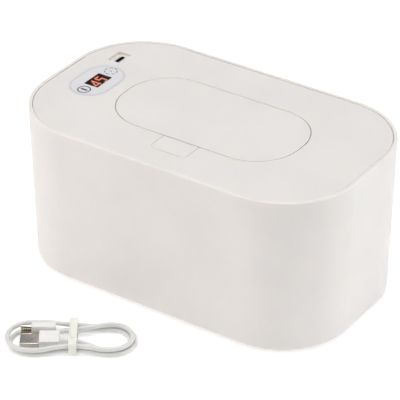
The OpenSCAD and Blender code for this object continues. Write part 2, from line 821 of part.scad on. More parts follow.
// Sheet of the heater stack, with its openings for the duct, the screws and the leads
module heater_sheet(z, h, inset) {
  gap = 0.6;
  difference() {
    slab(z, h, heater_l - 2 * inset, heater_w - 2 * inset, heater_r - inset);
    translate([lid_x, 0, 0])
      slab(z - past, h + 2 * past, duct_l() + 2 * duct_t + 2 * gap, duct_w() + 2 * duct_t + 2 * gap,
           duct_w() / 2 + duct_t + gap);
    for (at = heater_screw_at)
      translate([at[0], at[1], z - past]) cylinder(r = through_r, h = h + 2 * past);
    for (at = cover_screw_at)
      translate([at[0], at[1], z - past]) cylinder(d = head_d + 2 * fit_gap, h = h + 2 * past);
  }
}

module heater_plate() {
  color(steel) heater_sheet(plate_z, plate_t, 0);
}

module heating_film() {
  color("#B5722E") heater_sheet(heat_film_z, heat_film_t, 1.5);
}

module heater_insulation() {
  color(foam_grey) difference() {
    heater_sheet(heater_foam_z, heater_foam_t, 1);
    lead_cut(heater_foam_z - past, heater_foam_t + 2 * past);
    sensor_bay(heater_foam_z - past, heater_foam_t + 2 * past);
  }
}

// Cut-out in the foam where the thermistor and the fuse lie on the film
module sensor_bay(z, h) {
  translate([lead_x - sensor_bay_size[0], sensor_lead_y[0] - sensor_bay_front, z])
    cube([sensor_bay_size[0], sensor_bay_size[1], h]);
}

module thermistor() {
  color("#3A2E28")
    translate([lead_x - thermistor_at[0], sensor_lead_y[0] + thermistor_at[1], sensor_z])
      rotate([0, 90, 0]) cylinder(r = sensor_r, h = thermistor_l, center = true);
}

module thermal_fuse() {
  color("#CFCBC0")
    translate([lead_x - fuse_at[0], sensor_lead_y[0] + fuse_at[1], sensor_z])
      rotate([90, 0, 0]) cylinder(r = sensor_r, h = fuse_l, center = true);
}

// Screw seen from below: head, shank upwards
module screw(head_z, shank_l, d, head) {
  cross_l = cross_share * head;
  translate([0, 0, head_z]) difference() {
    union() {
      cylinder(d = head, h = head_t);
      cylinder(d = d, h = head_t + shank_l);
    }
    for (turn = [0, 90]) rotate([0, 0, turn])
      translate([-cross_l / 2, -cross_w / 2, -past]) cube([cross_l, cross_w, past + cross_w]);
  }
}

module heater_screws() {
  color(steel) for (at = heater_screw_at)
    translate([at[0], at[1], 0])
      screw(plate_z - seat_gap - head_t, liner_z - plate_z + heater_screw_bite, screw_d, head_d);
}

module cover_screws() {
  color(steel) for (at = cover_screw_at)
    translate([at[0], at[1], 0])
      screw(liner_z - seat_gap - head_t, liner_t + cover_screw_bite, screw_d, head_d);
}

module heater_leads() {
  top = board_top_z + lead_rise;
  low = heat_film_z + heat_film_t + seat_gap + heater_lead_r;
  color("#B8322A") for (y = heater_lead_y)
    tube([
      [board_x[1] - 1.4, y, top], [board_x[1] + 0.4, y, top], [lead_x - 0.5, y, top - 0.7],
      [lead_x, y, top - 2.4], [lead_x, y, low + 3], [lead_x, y, low + 1.4], [lead_x - 0.4, y, low + 0.4],
      [lead_x - 1, y, low]
    ], heater_lead_r, 8, [0, 1, 0]);
}

module sensor_leads() {
  top = board_top_z + lead_rise;
  low = sensor_z;
  color("#2E3034") for (y = sensor_lead_y)
    tube([
      [board_x[1] - 1.4, y, top], [board_x[1] + 0.4, y, top], [lead_x - 0.5, y, top - 0.7],
      [lead_x, y, top - 2.4], [lead_x, y, low + 2], [lead_x, y, low + 1], [lead_x - 0.3, y, low + 0.3],
      [lead_x - 1, y, low]
    ], sensor_lead_r, 8, [0, 1, 0]);
}

// ---------------------------------------------------------------- control panel and board

module control_overlay() {
  color("#E7EAEE") translate([panel_x, 0, 0]) difference() {
    translate(film_shift)
      slab(cover_z - film_t, film_t, panel_w - seat_gap, panel_l - seat_gap, (panel_w - seat_gap) / 2);
    slab(cover_z - film_t - past, film_t + 2 * past, window_w + 2 * seat_gap, window_l + 2 * seat_gap, 0.5);
  }
}

module display_window() {
  color("#1B1413") translate([panel_x, 0, 0]) slab(cover_z - window_t, window_t, window_w, window_l, 0.4);
}

module display_module() {
  top = cover_z - window_t - 0.5;
  color("#26221F") translate([panel_x, 0, 0]) {
    slab(top - 5, 5, window_w - 0.4, window_l - 0.4, 0.4);
    slab(board_top_z + seat_gap, top - 5 + overlap - board_top_z - seat_gap, window_w - 2,
         window_l - 2, 0.4);
  }
}

// Lit stroke with round ends
module stroke(from, to) {
  run = to - from;
  translate(from) rotate(atan2(run[1], run[0])) {
    translate([0, -stroke_w / 2]) square([norm(run), stroke_w]);
    circle(r = stroke_w / 2);
    translate([norm(run), 0]) circle(r = stroke_w / 2);
  }
}

module strokes(points) {
  for (i = [1 : len(points) - 1]) stroke(points[i - 1], points[i]);
}

module digit_four() {
  w = four_spread * digit_w;
  edge = (w - stroke_w) / 2;
  top = (digit_h - stroke_w) / 2;
  bar = four_bar * digit_h;
  stem = four_stem * w;
  strokes([[stem, -top], [stem, top], [-edge, bar], [edge, bar]]);
}

module digit_five() {
  edge = (digit_w - stroke_w) / 2;
  top = (digit_h - stroke_w) / 2;
  waist = five_waist * digit_h;
  strokes([[edge, top], [-edge, top], [-edge, waist], [edge, waist], [edge, -top], [-edge, -top]]);
}

module display_digits() {
  bar_t = 0.3;
  color("#FF6A4D") translate([panel_x, 0, cover_z - window_t - seat_gap - bar_t])
    rotate([0, 0, 90]) linear_extrude(bar_t) {
      translate([-digit_pitch / 2, 0]) digit_four();
      translate([digit_pitch / 2, 0]) digit_five();
    }
}

module control_board() {
  color(board_green) difference() {
    translate([0, 0, board_z]) linear_extrude(board_t) intersection() {
      translate([board_x[0], board_y[0]]) square([board_x[1] - board_x[0], board_y[1] - board_y[0]]);
      rounded(body_l - 2 * board_in, body_w - 2 * board_in, corner_r - board_in);
    }
    for (at = board_screw_at)
      translate([at[0], at[1], board_z - past]) cylinder(d = board_screw_d + 0.4, h = board_t + 2 * past);
  }
}

module board_screws() {
  color(steel) for (at = board_screw_at)
    translate([at[0], at[1], board_top_z + seat_gap + head_t]) mirror([0, 0, 1])
      screw(0, board_t + board_screw_bite, board_screw_d, board_head_d);
}

module board_parts() {
  color("#2B2C30") {
    translate([panel_x + chip_at[0], chip_at[1], board_z - seat_gap - chip[2]]) cube(chip);
    translate([panel_x + driver_chip_at[0], driver_chip_at[1], board_z - seat_gap - driver_chip[2]])
      cube(driver_chip);
  }
  color("#E9E6DA") {
    connector(heater_lead_y);
    connector(sensor_lead_y);
  }
}

// White plug that a pair of leads comes out of
module connector(lead_y) {
  translate([board_x[1] - connector_in, lead_y[0] - connector_side, board_top_z + seat_gap])
    cube([connector_size[0], lead_y[1] - lead_y[0] + 2 * connector_side, connector_size[1]]);
}

module touch_springs() {
  wire_r = 0.25;
  low = board_top_z + seat_gap + wire_r;
  color(steel) for (side = [-1, 1])
    translate([panel_x, side * key_pitch, low])
      tube(coil(5, panel_z - seat_gap - wire_r - low, 2.8), wire_r, 6);
}

module usb_c_socket() {
  color(steel) translate([socket_x, socket_y, 0]) {
    difference() {
      slab(board_top_z + seat_gap, pocket_z - board_top_z - seat_gap, socket_size[0], socket_size[1],
           socket_size[0] / 2);
      slab(pocket_z - socket_depth, socket_depth + past, socket_size[0] - 2 * socket_wall,
           socket_size[1] - 2 * socket_wall, socket_size[0] / 2 - socket_wall);
    }
    slab(pocket_z - socket_depth - overlap, tongue_l + overlap, tongue[0], tongue[1], 0.2);
  }
}

// ---------------------------------------------------------------- flip lid

module lid_cap() {
  color(ivory) translate([lid_x, 0, 0]) {
    slab(cover_z - lid_edge_t, lid_edge_t, lid_l, lid_w, lid_r);
    slab(panel_z, panel_t - lid_edge_t, lid_l - 2 * lid_edge_step, lid_w - 2 * lid_edge_step,
         lid_r - lid_edge_step);
  }
}

// Swan-neck arm in Y and Z from the pin: it goes down behind the cover's edge, round under it and
// up to the lid, so that the edge fits inside the bend when the lid stands open
module hinge_arm_outline() {
  front_y = -arm_out_r;
  top_z = liner_plate_z + liner_plate_t - hinge_z;
  difference() {
    union() {
      circle(r = barrel_r);
      translate([arm_leg_y - arm_leg_t, -arm_in_r - arm_t / 2]) square([arm_leg_t, arm_in_r + arm_t / 2]);
      translate([front_y, 0]) square([arm_t, top_z]);
      translate([front_y - 3, top_z - liner_plate_t]) square([arm_t + 3, liner_plate_t]);
      intersection() {
        difference() {
          circle(r = arm_out_r);
          circle(r = arm_in_r);
        }
        translate([front_y, front_y]) square([arm_out_r + arm_leg_y, arm_out_r]);
      }
    }
    circle(r = bore_r);
  }
}

module lid_liner() {
  color(tub_white) translate([lid_x, 0, 0]) {
    slab(liner_plate_z, liner_plate_t, lid_l - 2 * liner_plate_in, lid_w - 2 * liner_plate_in,
         lid_r - liner_plate_in);
    difference() {
      seal_block(collar_z + soft_gap + seal_h, liner_plate_z + overlap, collar_w);
      seal_block(collar_z, liner_plate_z + overlap + past, collar_w - 2 * seal_w);
    }
    for (side = [-1, 1])
      along_x(side * arm_x, arm_w) translate([hinge_y, hinge_z]) hinge_arm_outline();
    lid_catch();
  }
}

// Block over the collar from z0 to z1, w wide
module seal_block(z0, z1, w) {
  shrink = collar_w - w;
  slab(z0, z1 - z0, collar_l - shrink, w, collar_r - shrink / 2);
}

// Springy tongue with a lip that points at the window in the well's front wall
module lid_catch() {
  plate_y = -lid_y + liner_plate_in;
  front_y = plate_y - catch_t;
  tip_y = -well_y + catch_gap;
  hold_z = shoulder_z - fit_gap;
  along_x(0, latch_w) polygon([
    [plate_y + 1, liner_plate_z + overlap],
    [front_y, liner_plate_z + overlap],
    [front_y, hold_z],
    [tip_y, hold_z],
    [tip_y, hold_z - 0.6],
    [front_y + 0.2, hold_z - 2],
    [plate_y, hold_z - 2],
    [plate_y + 1, hold_z - 1]
  ]);
}

module lid_seal() {
  color(silicone) translate([lid_x, 0, 0]) difference() {
    seal_block(collar_z + soft_gap, collar_z + soft_gap + seal_h - seat_gap / 2, collar_w);
    seal_block(collar_z - past, collar_z + seal_h + 2 * past, collar_w - 2 * seal_w);
  }
}

module hinge_pin() {
  color(steel) translate([lid_x, 0, 0])
    along_x(0, pin_l) translate([hinge_y, hinge_z]) circle(d = pin_d);
}

// Coil round the pin with one leg along the cover and one down the hinge arm
function lid_spring_path(x0, x1, r, leg) = let (turns = 6, rings = 8, n = turns * rings + rings / 4) [
  [x0, leg, r],
  for (i = [0:n])
    let (angle = 90 + 360 * i / rings)
    [mix(x0, x1, i / n), r * cos(angle), r * sin(angle)],
  [x1, -r, -leg]
];

module lid_springs() {
  wire_r = 0.3;
  arm_side = arm_x - arm_w / 2 - soft_gap / 2 - wire_r;
  lug_side = inner_lug_x + lug_t / 2 + seat_gap + wire_r;
  color(steel) translate([lid_x, hinge_y, hinge_z]) for (side = [-1, 1])
    tube(lid_spring_path(side * lug_side, side * arm_side, spring_r, spring_leg), wire_r, 6, [1, 0, 0]);
}

// ---------------------------------------------------------------- press tab

// Pad with a lip under the cover, a post for its spring, and a wedge that pushes the catch free
module release_button() {
  post_r = 1.3;
  pad_z = panel_z - seat_gap;
  lip_z = pad_z - lip_t;
  back_y = -well_y - well_t;
  rib_y = [back_y - 2.2, back_y - soft_gap];
  nose_y = -well_y - soft_gap;
  nose_z = shoulder_z + soft_gap;
  foot_z = window_z0 + tab_travel + fit_gap;
  color(ivory) translate([lid_x, 0, 0]) {
    translate([0, 0, lip_z]) linear_extrude(cover_z - lip_z) tab_outline(0, 0, -well_y);
    box([-chute_w / 2 + fit_gap, chute_front_y + fit_gap, lip_z], [chute_w / 2 - fit_gap, back_y, pad_z]);
    translate([0, tab_mid_y - 1, lip_z - 4]) cylinder(r = post_r, h = 4 + overlap);
    along_x(0, wedge_w) polygon([
      [rib_y[0], lip_z + overlap],
      [rib_y[1], lip_z + overlap],
      [rib_y[1], nose_z + 1.6],
      [nose_y, nose_z + 1],
      [nose_y, nose_z + 0.4],
      [rib_y[1], nose_z - 0.6],
      [rib_y[1], foot_z],
      [rib_y[0], foot_z]
    ]);
  }
}

module button_spring() {
  wire_r = 0.25;
  low = chute_floor_z + seat_gap + wire_r;
  high = panel_z - lip_t - 2 * seat_gap - wire_r;
  color(steel) translate([lid_x, tab_mid_y - 1, low]) tube(coil(5, high - low, 2.4), wire_r, 6);
}

// ---------------------------------------------------------------- cable hank

// Radius, level and draw-in of the loops at a count of loops along the cable
function loop_r(loop) = bend_r + cable_step * (loop < climb_at ? loop : 2 * climb_at - loop);
function loop_w(loop) = cable_d / 2 + table_gap
  + cable_step * smooth((loop - climb_at + climb_half) / (2 * climb_half));
function draw_in(u) = abs(u) < waist_reach ? waist_depth * pow(cos(90 * u / waist_reach), 2) : 0;
function tie_rise(u) = tie_lift * (1 - smooth((abs(u) - lift_from) / (lift_to - lift_from)));

// Place on one loop: right half of the bottom run, right fold, top run, left fold, bottom run
function on_loop(loop) = let (
    share = loop - floor(loop), r = loop_r(loop), s = run_share,
    right_a = -90 + 180 * (share - s[0]) / (s[1] - s[0]),
    left_a = 90 + 180 * (share - s[2]) / (s[3] - s[2]),
    run_u = share < s[0] ? hank_right * share / s[0]
      : share < s[2] ? mix(hank_right, -hank_left, (share - s[1]) / (s[2] - s[1]))
      : -hank_left * (1 - share) / (1 - s[3]),
    uv = share >= s[0] && share < s[1] ? [hank_right + r * cos(right_a), r * sin(right_a)]
      : share >= s[2] && share < s[3] ? [-hank_left + r * cos(left_a), r * sin(left_a)]
      : [run_u, (share >= s[1] && share < s[2] ? 1 : -1) * (r - draw_in(run_u))]
  ) [uv[0], uv[1], loop_w(loop) + tie_rise(uv[0])];

// The cable's ends leave the plugs on a straight line and join the loops from there
function tail(plug, p) = let (past_straight = p[0] - plug[2] - cable_d) [
  p[0],
  mix(plug[0], p[1], smooth(past_straight / (hank_right - plug[2] - cable_d - 1))),
  mix(plug[1], p[2], smooth(past_straight / tail_rise))
];
function hank_point(loop) = loop < run_share[0] ? tail(plug_a, on_loop(loop))
  : loop > last_run ? tail(plug_c, on_loop(loop))
  : on_loop(loop);

last_run = floor(loops) + run_share[1];
hank_path = [
  hank_point(plug_a[2] / hank_left * (1 - run_share[3])),
  for (i = [0:loops * rings_per_loop]) hank_point(i / rings_per_loop),
  hank_point(last_run + (run_share[2] - run_share[1]) * (hank_right - plug_c[2]) / (hank_right + hank_left))
];

// Least gap of the cable to itself, from its ring centres to the stretches between them
function to_stretch(p, a, b) =
  let (d = b - a, t = min(1, max(0, (p - a) * d / (d * d)))) norm(p - a - t * d);
hank_gap = min([
  for (i = [0:len(hank_path) - 1], j = [0:len(hank_path) - 2])
    if (abs(i - j) > 6) to_stretch(hank_path[i], hank_path[j], hank_path[j + 1])
]) - cable_d;
hank_l = cable_length(len(hank_path) - 1);
function cable_length(i) = i == 0 ? 0 : norm(hank_path[i] - hank_path[i - 1]) + cable_length(i - 1);
echo(least_gap_of_the_hank = hank_gap, length_of_the_cable = hank_l);

module in_hank() {
  translate(hank_at) rotate([0, 0, hank_turn]) children();
}

module usb_cable() {
  color(cable_white) in_hank() tube(hank_path, cable_d / 2, 6);
}

// Grip with a round strain relief on the cable's side
module plug_grip(plug, size) {
  edge = 0.8;
  translate([plug[3] - size[0], plug[0], plug[1]]) rotate([90, 0, 90]) {
    linear_extrude(size[0]) rounded(size[1], size[2], edge);
    translate([0, 0, size[0]])
      cylinder(d1 = min(relief_d[0], size[1] - 0.6), d2 = relief_d[1], h = plug[2] - plug[3]);
  }
}

// Metal shell, open at its tip, in front of the grip
module plug_shell(plug, grip_l, size, wall, edge) {
  bottom_t = 2;
  translate([plug[3] - grip_l - size[0], plug[0], plug[1]]) rotate([90, 0, 90]) difference() {
    linear_extrude(size[0]) rounded(size[1], size[2], edge);
    translate([0, 0, -past]) linear_extrude(size[0] - bottom_t + past)
      rounded(size[1] - 2 * wall, size[2] - 2 * wall, edge - wall);
  }
}

module usb_a_grip() {
  color(cable_white) in_hank() plug_grip(plug_a, grip_a);
}

module usb_a_shell() {
  tongue_w = 10.4;
  tongue_h = 1.9;
  color(steel) in_hank() {
    plug_shell(plug_a, grip_a[0], shell_a, 0.35, 0.5);
    translate([plug_a[3] - grip_a[0] - shell_a[0] + 1, plug_a[0] - tongue_w / 2, plug_a[1] - 1.95])
      cube([shell_a[0] - 2, tongue_w, tongue_h]);
  }
}

module usb_c_grip() {
  color(cable_white) in_hank() plug_grip(plug_c, grip_c);
}

module usb_c_shell() {
  color(steel) in_hank() plug_shell(plug_c, grip_c[0], shell_c, 0.3, 1.2);
}

module cable_tie() {
  low_v = -(bend_r + cable_step - waist_depth) - cable_d / 2 - tie_room;
  high_v = bend_r + climb_at * cable_step - waist_depth + cable_d / 2 + tie_room;
  high_w = cable_d + table_gap + cable_step + tie_lift + tie_room;
  size_v = high_v - low_v;
  size_w = high_w - tie_t;
  edge = cable_d / 2 + soft_gap;
  color("#EEEDE4") in_hank() translate([-tie_w / 2, (low_v + high_v) / 2, tie_t + size_w / 2]) {
    rotate([90, 0, 90]) linear_extrude(tie_w) difference() {
      rounded(size_v + 2 * tie_t, size_w + 2 * tie_t, edge + tie_t);
      rounded(size_v, size_w, edge);
    }
    translate([tie_w / 2, -size_v / 2 + tie_peg_in, size_w / 2 + tie_t - tie_peg_sink])
      cylinder(r = tie_peg_r, h = tie_peg_h + tie_peg_sink);
  }
}

// ---------------------------------------------------------------- nodes

outer_shell();
insulation_wrap();
insulation_pad();
inner_tub();
rubber_feet();
cover_panel();
cover_liner();
cover_gasket();
wipe_outlet();
heater_plate();
heating_film();
heater_insulation();
thermistor();
thermal_fuse();
heater_screws();
heater_leads();
sensor_leads();
control_overlay();
display_window();
display_module();
display_digits();
control_board();
board_parts();
board_screws();
touch_springs();
usb_c_socket();
cover_screws();
hinge_pin();
lid_springs();
button_spring();
lid_cap();
lid_liner();
lid_seal();
release_button();
usb_cable();
usb_a_grip();
usb_a_shell();
usb_c_grip();
usb_c_shell();
cable_tie();
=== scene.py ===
# %% [markdown]
# # A baby wipe warmer, dressed for its portrait
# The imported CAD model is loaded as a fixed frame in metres: X along the length with the display at
# the left end, Y to the back, Z up from the table. This script only adds what CAD leaves out: soft
# moulded edges, finishes, the real cable, fine springs and leads, and the light.

# %% Load the frame
import math
import bmesh
import bpy
from mathutils import Matrix, Vector


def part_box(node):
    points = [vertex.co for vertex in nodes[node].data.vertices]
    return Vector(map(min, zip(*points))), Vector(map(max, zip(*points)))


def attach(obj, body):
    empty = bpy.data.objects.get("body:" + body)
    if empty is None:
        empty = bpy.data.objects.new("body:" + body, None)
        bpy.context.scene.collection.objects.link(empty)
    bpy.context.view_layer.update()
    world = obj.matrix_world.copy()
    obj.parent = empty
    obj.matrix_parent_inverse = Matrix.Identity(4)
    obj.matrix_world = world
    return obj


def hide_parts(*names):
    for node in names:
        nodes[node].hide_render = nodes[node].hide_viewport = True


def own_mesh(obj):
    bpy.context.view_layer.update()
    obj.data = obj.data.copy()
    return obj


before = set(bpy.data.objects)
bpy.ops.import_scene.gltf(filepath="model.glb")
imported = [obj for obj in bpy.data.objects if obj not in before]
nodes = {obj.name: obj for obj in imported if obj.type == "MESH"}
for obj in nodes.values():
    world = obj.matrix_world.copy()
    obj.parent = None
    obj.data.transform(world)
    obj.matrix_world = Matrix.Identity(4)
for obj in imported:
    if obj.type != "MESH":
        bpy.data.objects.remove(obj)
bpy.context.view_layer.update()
MM = 0.001

# %% [markdown]
# ## Camera
# The photograph was taken from well back with a long lens, so the upright edges hardly converge.
# Angle, distance and focal length come from fitting the outline of the case and of the lid to the
# picture. A long lens far away could also be faked with an orthographic camera, but the slight
# narrowing to the foot of the case would be lost.

# %% Camera at the photograph's angle
AZIMUTH, ELEVATION = 33.902, 31.68
DISTANCE = 1.480257
LOOK_AT = Vector((0.000215, -0.012214, 0.0537))
LENS_MM, SENSOR_MM = 216.94, 36.0


def direction(azimuth, elevation):
    """Points from the object to an eye at that azimuth and elevation."""
    a, e = math.radians(azimuth), math.radians(elevation)
    return Vector((math.sin(a) * math.cos(e), -math.cos(a) * math.cos(e), math.sin(e)))


def link(obj):
    bpy.context.scene.collection.objects.link(obj)
    return obj


camera = link(bpy.data.objects.new("camera", bpy.data.cameras.new("camera")))
camera.data.sensor_width = SENSOR_MM
camera.data.lens = LENS_MM
to_eye = direction(AZIMUTH, ELEVATION)
camera.location = LOOK_AT + to_eye * DISTANCE
camera.rotation_mode = "QUATERNION"
camera.rotation_quaternion = (-to_eye).to_track_quat("-Z", "Y")
bpy.context.scene.camera = camera
print("camera stands at", [round(c, 3) for c in camera.location])

# %% [markdown]
# ## The cable's hank
# The USB cable is 0.45 m of 3 mm cord, wound two and a half times and held by a strap. Its route
# repeats the one that the CAD model holds: two folds joined by straight runs, drawn in at the
# waist, with one climb to a second layer. A curve with a round bevel is the right tool, because
# it stays one unbroken cord of known length however it bends.

# %% Route of the cable
# Lengths are in mm. In the hank u runs along it, v across it and w up.
CABLE_D, STEP, BEND_R = 3.0, 3.55, 10.2
HANK_AT, HANK_TURN = (-20.0, -118.0), 34.0
LEFT_U, RIGHT_U = 24.9, 22.7
LOOPS, RINGS = 2.5, 24
CLIMB_AT, CLIMB_HALF = 1.5, 0.1
WAIST_DEPTH, WAIST_REACH = 2.2, 22.0
TABLE_GAP, TIE_T = 0.05, 0.8
TIE_AIR, LIFT_FROM, LIFT_TO = 0.35, 6.0, 20.0
TIE_LIFT = TIE_T + TIE_AIR
# Shares of a loop at which the right fold starts and stops, then the left one
SHARE = (0.1, 0.39, 0.6, 0.89)
# v, w and u at which the cord leaves each plug
PLUG_A, PLUG_C = (-2.7, 3.8, -3.0), (6.2, 4.9, -5.2)
TAIL_RISE, TAIL_SPARE = 0.6 * RIGHT_U, 1.0
LAST_RUN = math.floor(LOOPS) + SHARE[1]


def mix(a, b, t):
    return a + (b - a) * t


def smooth(t):
    s = min(1.0, max(0.0, t))
    return s * s * (3 - 2 * s)


def on_loop(loop):
    """Place in the hank after that many loops: u along it, v across it and w up, in mm."""
    share = loop - math.floor(loop)
    r = BEND_R + STEP * (loop if loop < CLIMB_AT else 2 * CLIMB_AT - loop)
    layer = CABLE_D / 2 + TABLE_GAP + STEP * smooth((loop - CLIMB_AT + CLIMB_HALF) / (2 * CLIMB_HALF))
    right_turn = math.radians(-90 + 180 * (share - SHARE[0]) / (SHARE[1] - SHARE[0]))
    left_turn = math.radians(90 + 180 * (share - SHARE[2]) / (SHARE[3] - SHARE[2]))
    if SHARE[0] <= share < SHARE[1]:
        u, v = RIGHT_U + r * math.cos(right_turn), r * math.sin(right_turn)
    elif SHARE[2] <= share < SHARE[3]:
        u, v = -LEFT_U + r * math.cos(left_turn), r * math.sin(left_turn)
    else:
        if share < SHARE[0]:
            u = RIGHT_U * share / SHARE[0]
        elif share < SHARE[2]:
            u = mix(RIGHT_U, -LEFT_U, (share - SHARE[1]) / (SHARE[2] - SHARE[1]))
        else:
            u = -LEFT_U * (1 - share) / (1 - SHARE[3])
        from_waist = min(1.0, abs(u) / WAIST_REACH)
        waist = WAIST_DEPTH * math.cos(math.radians(90 * from_waist)) ** 2
        v = (1 if SHARE[1] <= share < SHARE[2] else -1) * (r - waist)
    return u, v, layer + TIE_LIFT * (1 - smooth((abs(u) - LIFT_FROM) / (LIFT_TO - LIFT_FROM)))


def tail(plug, point):
    """Takes the cable from a plug's axis over to the loops."""
    past = point[0] - plug[2] - CABLE_D
    over = smooth(past / (RIGHT_U - plug[2] - CABLE_D - TAIL_SPARE))
    return point[0], mix(plug[0], point[1], over), mix(plug[1], point[2], smooth(past / TAIL_RISE))


def hank_point(loop):
    if loop < SHARE[0]:
        return tail(PLUG_A, on_loop(loop))
    if loop > LAST_RUN:
        return tail(PLUG_C, on_loop(loop))
    return on_loop(loop)


def hank_to_frame(u, v, w):
    """Hank place in mm to metres in the shared frame."""
    turn = math.radians(HANK_TURN)
    x = HANK_AT[0] + u * math.cos(turn) - v * math.sin(turn)
    y = HANK_AT[1] + u * math.sin(turn) + v * math.cos(turn)
    return Vector((x, y, w)) * MM


end_loop = LAST_RUN + (SHARE[2] - SHARE[1]) * (RIGHT_U - PLUG_C[2]) / (RIGHT_U + LEFT_U)
stations = [PLUG_A[2] / LEFT_U * (1 - SHARE[3])]
stations += [i / RINGS for i in range(int(LOOPS * RINGS) + 1)]
stations += [end_loop]
route = [hank_to_frame(*hank_point(loop)) for loop in stations]

# %% The cord itself


def cord_curve(name, points, radius):
    """A smooth round curve through the points."""
    data = bpy.data.curves.new(name, "CURVE")
    data.dimensions = "3D"
    data.bevel_depth = radius
    data.bevel_resolution = 5
    data.use_fill_caps = True
    data.resolution_u = data.render_resolution_u = 6
    spline = data.splines.new("BEZIER")
    spline.bezier_points.add(len(points) - 1)
    for knot, point in zip(spline.bezier_points, points):
        knot.co = point
        knot.handle_left_type = knot.handle_right_type = "AUTO"
    return link(bpy.data.objects.new(name, data))


cable = cord_curve("cable_cord", route, CABLE_D / 2 * MM)
print("cord:", len(cable.data.splines[0].bezier_points), "knots")

# %% [markdown]
# ## Helpers for finishes
# Every finish below is a node tree on Object coordinates, which are metres in the shared frame, so
# a pattern's scale can be worked out from a real size. Colours are written as the hex values that
# an eye would pick from a picture, and one function turns them into the linear values that the
# renderer counts in.

# %% Colour and node helpers
# A noise's values at which its colour starts and stops to drift
DRIFT_FROM, DRIFT_TO = 0.35, 0.65


def linear(colour):
    """sRGB hex to linear RGBA."""
    channels = [int(colour[i : i + 2], 16) / 255 for i in (1, 3, 5)]
    return (*(c / 12.92 if c <= 0.04045 else ((c + 0.055) / 1.055) ** 2.4 for c in channels), 1.0)


def add(tree, kind, links=(), **settings):
    """Adds a node. A setting is one of its properties or, with _ for a space, one of its sockets. links are
    (output socket, name or number of this node's input)."""
    node = tree.nodes.new(kind)
    for key, value in settings.items():
        if hasattr(node, key):
            setattr(node, key, value)
        else:
            node.inputs[key.replace("_", " ")].default_value = value
    for source, socket in links:
        tree.links.new(source, node.inputs[socket])
    return node


def finish(name, **shader):
    """A new material with these values on its shader. Returns it with its tree, shader and coordinates."""
    material = bpy.data.materials.new(name)
    material.use_nodes = True
    tree = material.node_tree
    tree.nodes.clear()
    output = add(tree, "ShaderNodeOutputMaterial")
    surface = add(tree, "ShaderNodeBsdfPrincipled", **shader)
    tree.links.new(surface.outputs["BSDF"], output.inputs["Surface"])
    place = add(tree, "ShaderNodeTexCoord").outputs["Object"]
    return material, tree, surface, place


def per_metre(size_mm):
    """Scale of a pattern on Object coordinates whose features are that size."""
    return 1.0 / (size_mm * MM)


def mottle(tree, surface, place, dark, light, size_mm):
    """Lets the colour drift between two close shades over a size."""
    cloud = add(tree, "ShaderNodeTexNoise", [(place, "Vector")], Scale=per_metre(size_mm), Detail=2.0)
    ramp = add(tree, "ShaderNodeValToRGB", [(cloud.outputs["Fac"], "Fac")])
    ramp.color_ramp.elements[0].position = DRIFT_FROM
    ramp.color_ramp.elements[0].color = linear(dark)
    ramp.color_ramp.elements[1].position = DRIFT_TO
    ramp.color_ramp.elements[1].color = linear(light)
    tree.links.new(ramp.outputs["Color"], surface.inputs["Base Color"])
    return ramp


def grain(tree, surface, place, size_mm, depth_mm, rough=None):
    """Raised grain of that size and depth, and a roughness that follows it."""
    speck = add(tree, "ShaderNodeTexNoise", [(place, "Vector")], Scale=per_metre(size_mm), Detail=3.0)
    bump = add(tree, "ShaderNodeBump", [(speck.outputs["Fac"], "Height")], Distance=depth_mm * MM)
    tree.links.new(bump.outputs["Normal"], surface.inputs["Normal"])
    if rough:
        spread = add(
            tree, "ShaderNodeMapRange", [(speck.outputs["Fac"], "Value")], To_Min=rough[0], To_Max=rough[1]
        )
        tree.links.new(spread.outputs["Result"], surface.inputs["Roughness"])
    return speck


def paint(material, *names):
    """Puts a finish on CAD nodes or on pieces of this script, and says so."""
    for name in names:
        obj = nodes[name] if name in nodes else bpy.data.objects[name]
        obj.data.materials.clear()
        obj.data.materials.append(material)
    print(material.name, "on", ", ".join(names))


print("#808080 is", round(linear("#808080")[0], 3), "in linear light")

# %% [markdown]
# ## Moulded case
# The case, cover, lid and press tab are injection-moulded ABS in a warm ivory. The mould's faces
# are spark-eroded, so the plastic has a satin bloom: no sharp mirror image, a soft highlight along
# the rim, and very slight drifts of shade where the melt met. A glossy white would look like
# enamel, and a flat matt one like plaster.

# %% Ivory ABS
ivory_abs, tree, surface, place = finish(
    "spark_eroded_ivory_abs", Roughness=0.42, IOR=1.53, Subsurface_Weight=0.9, Subsurface_Scale=2.0 * MM
)
surface.inputs["Subsurface Radius"].default_value = (1.0, 0.85, 0.65)
mottle(tree, surface, place, "#E6E3E1", "#E9E6E4", size_mm=38.0)
# The real grain is 0.1 mm. It is drawn at 0.7 mm, as coarse as a pixel of the picture, to show at all.
grain(tree, surface, place, size_mm=0.7, depth_mm=0.004, rough=(0.38, 0.48))
paint(ivory_abs, "outer_shell")
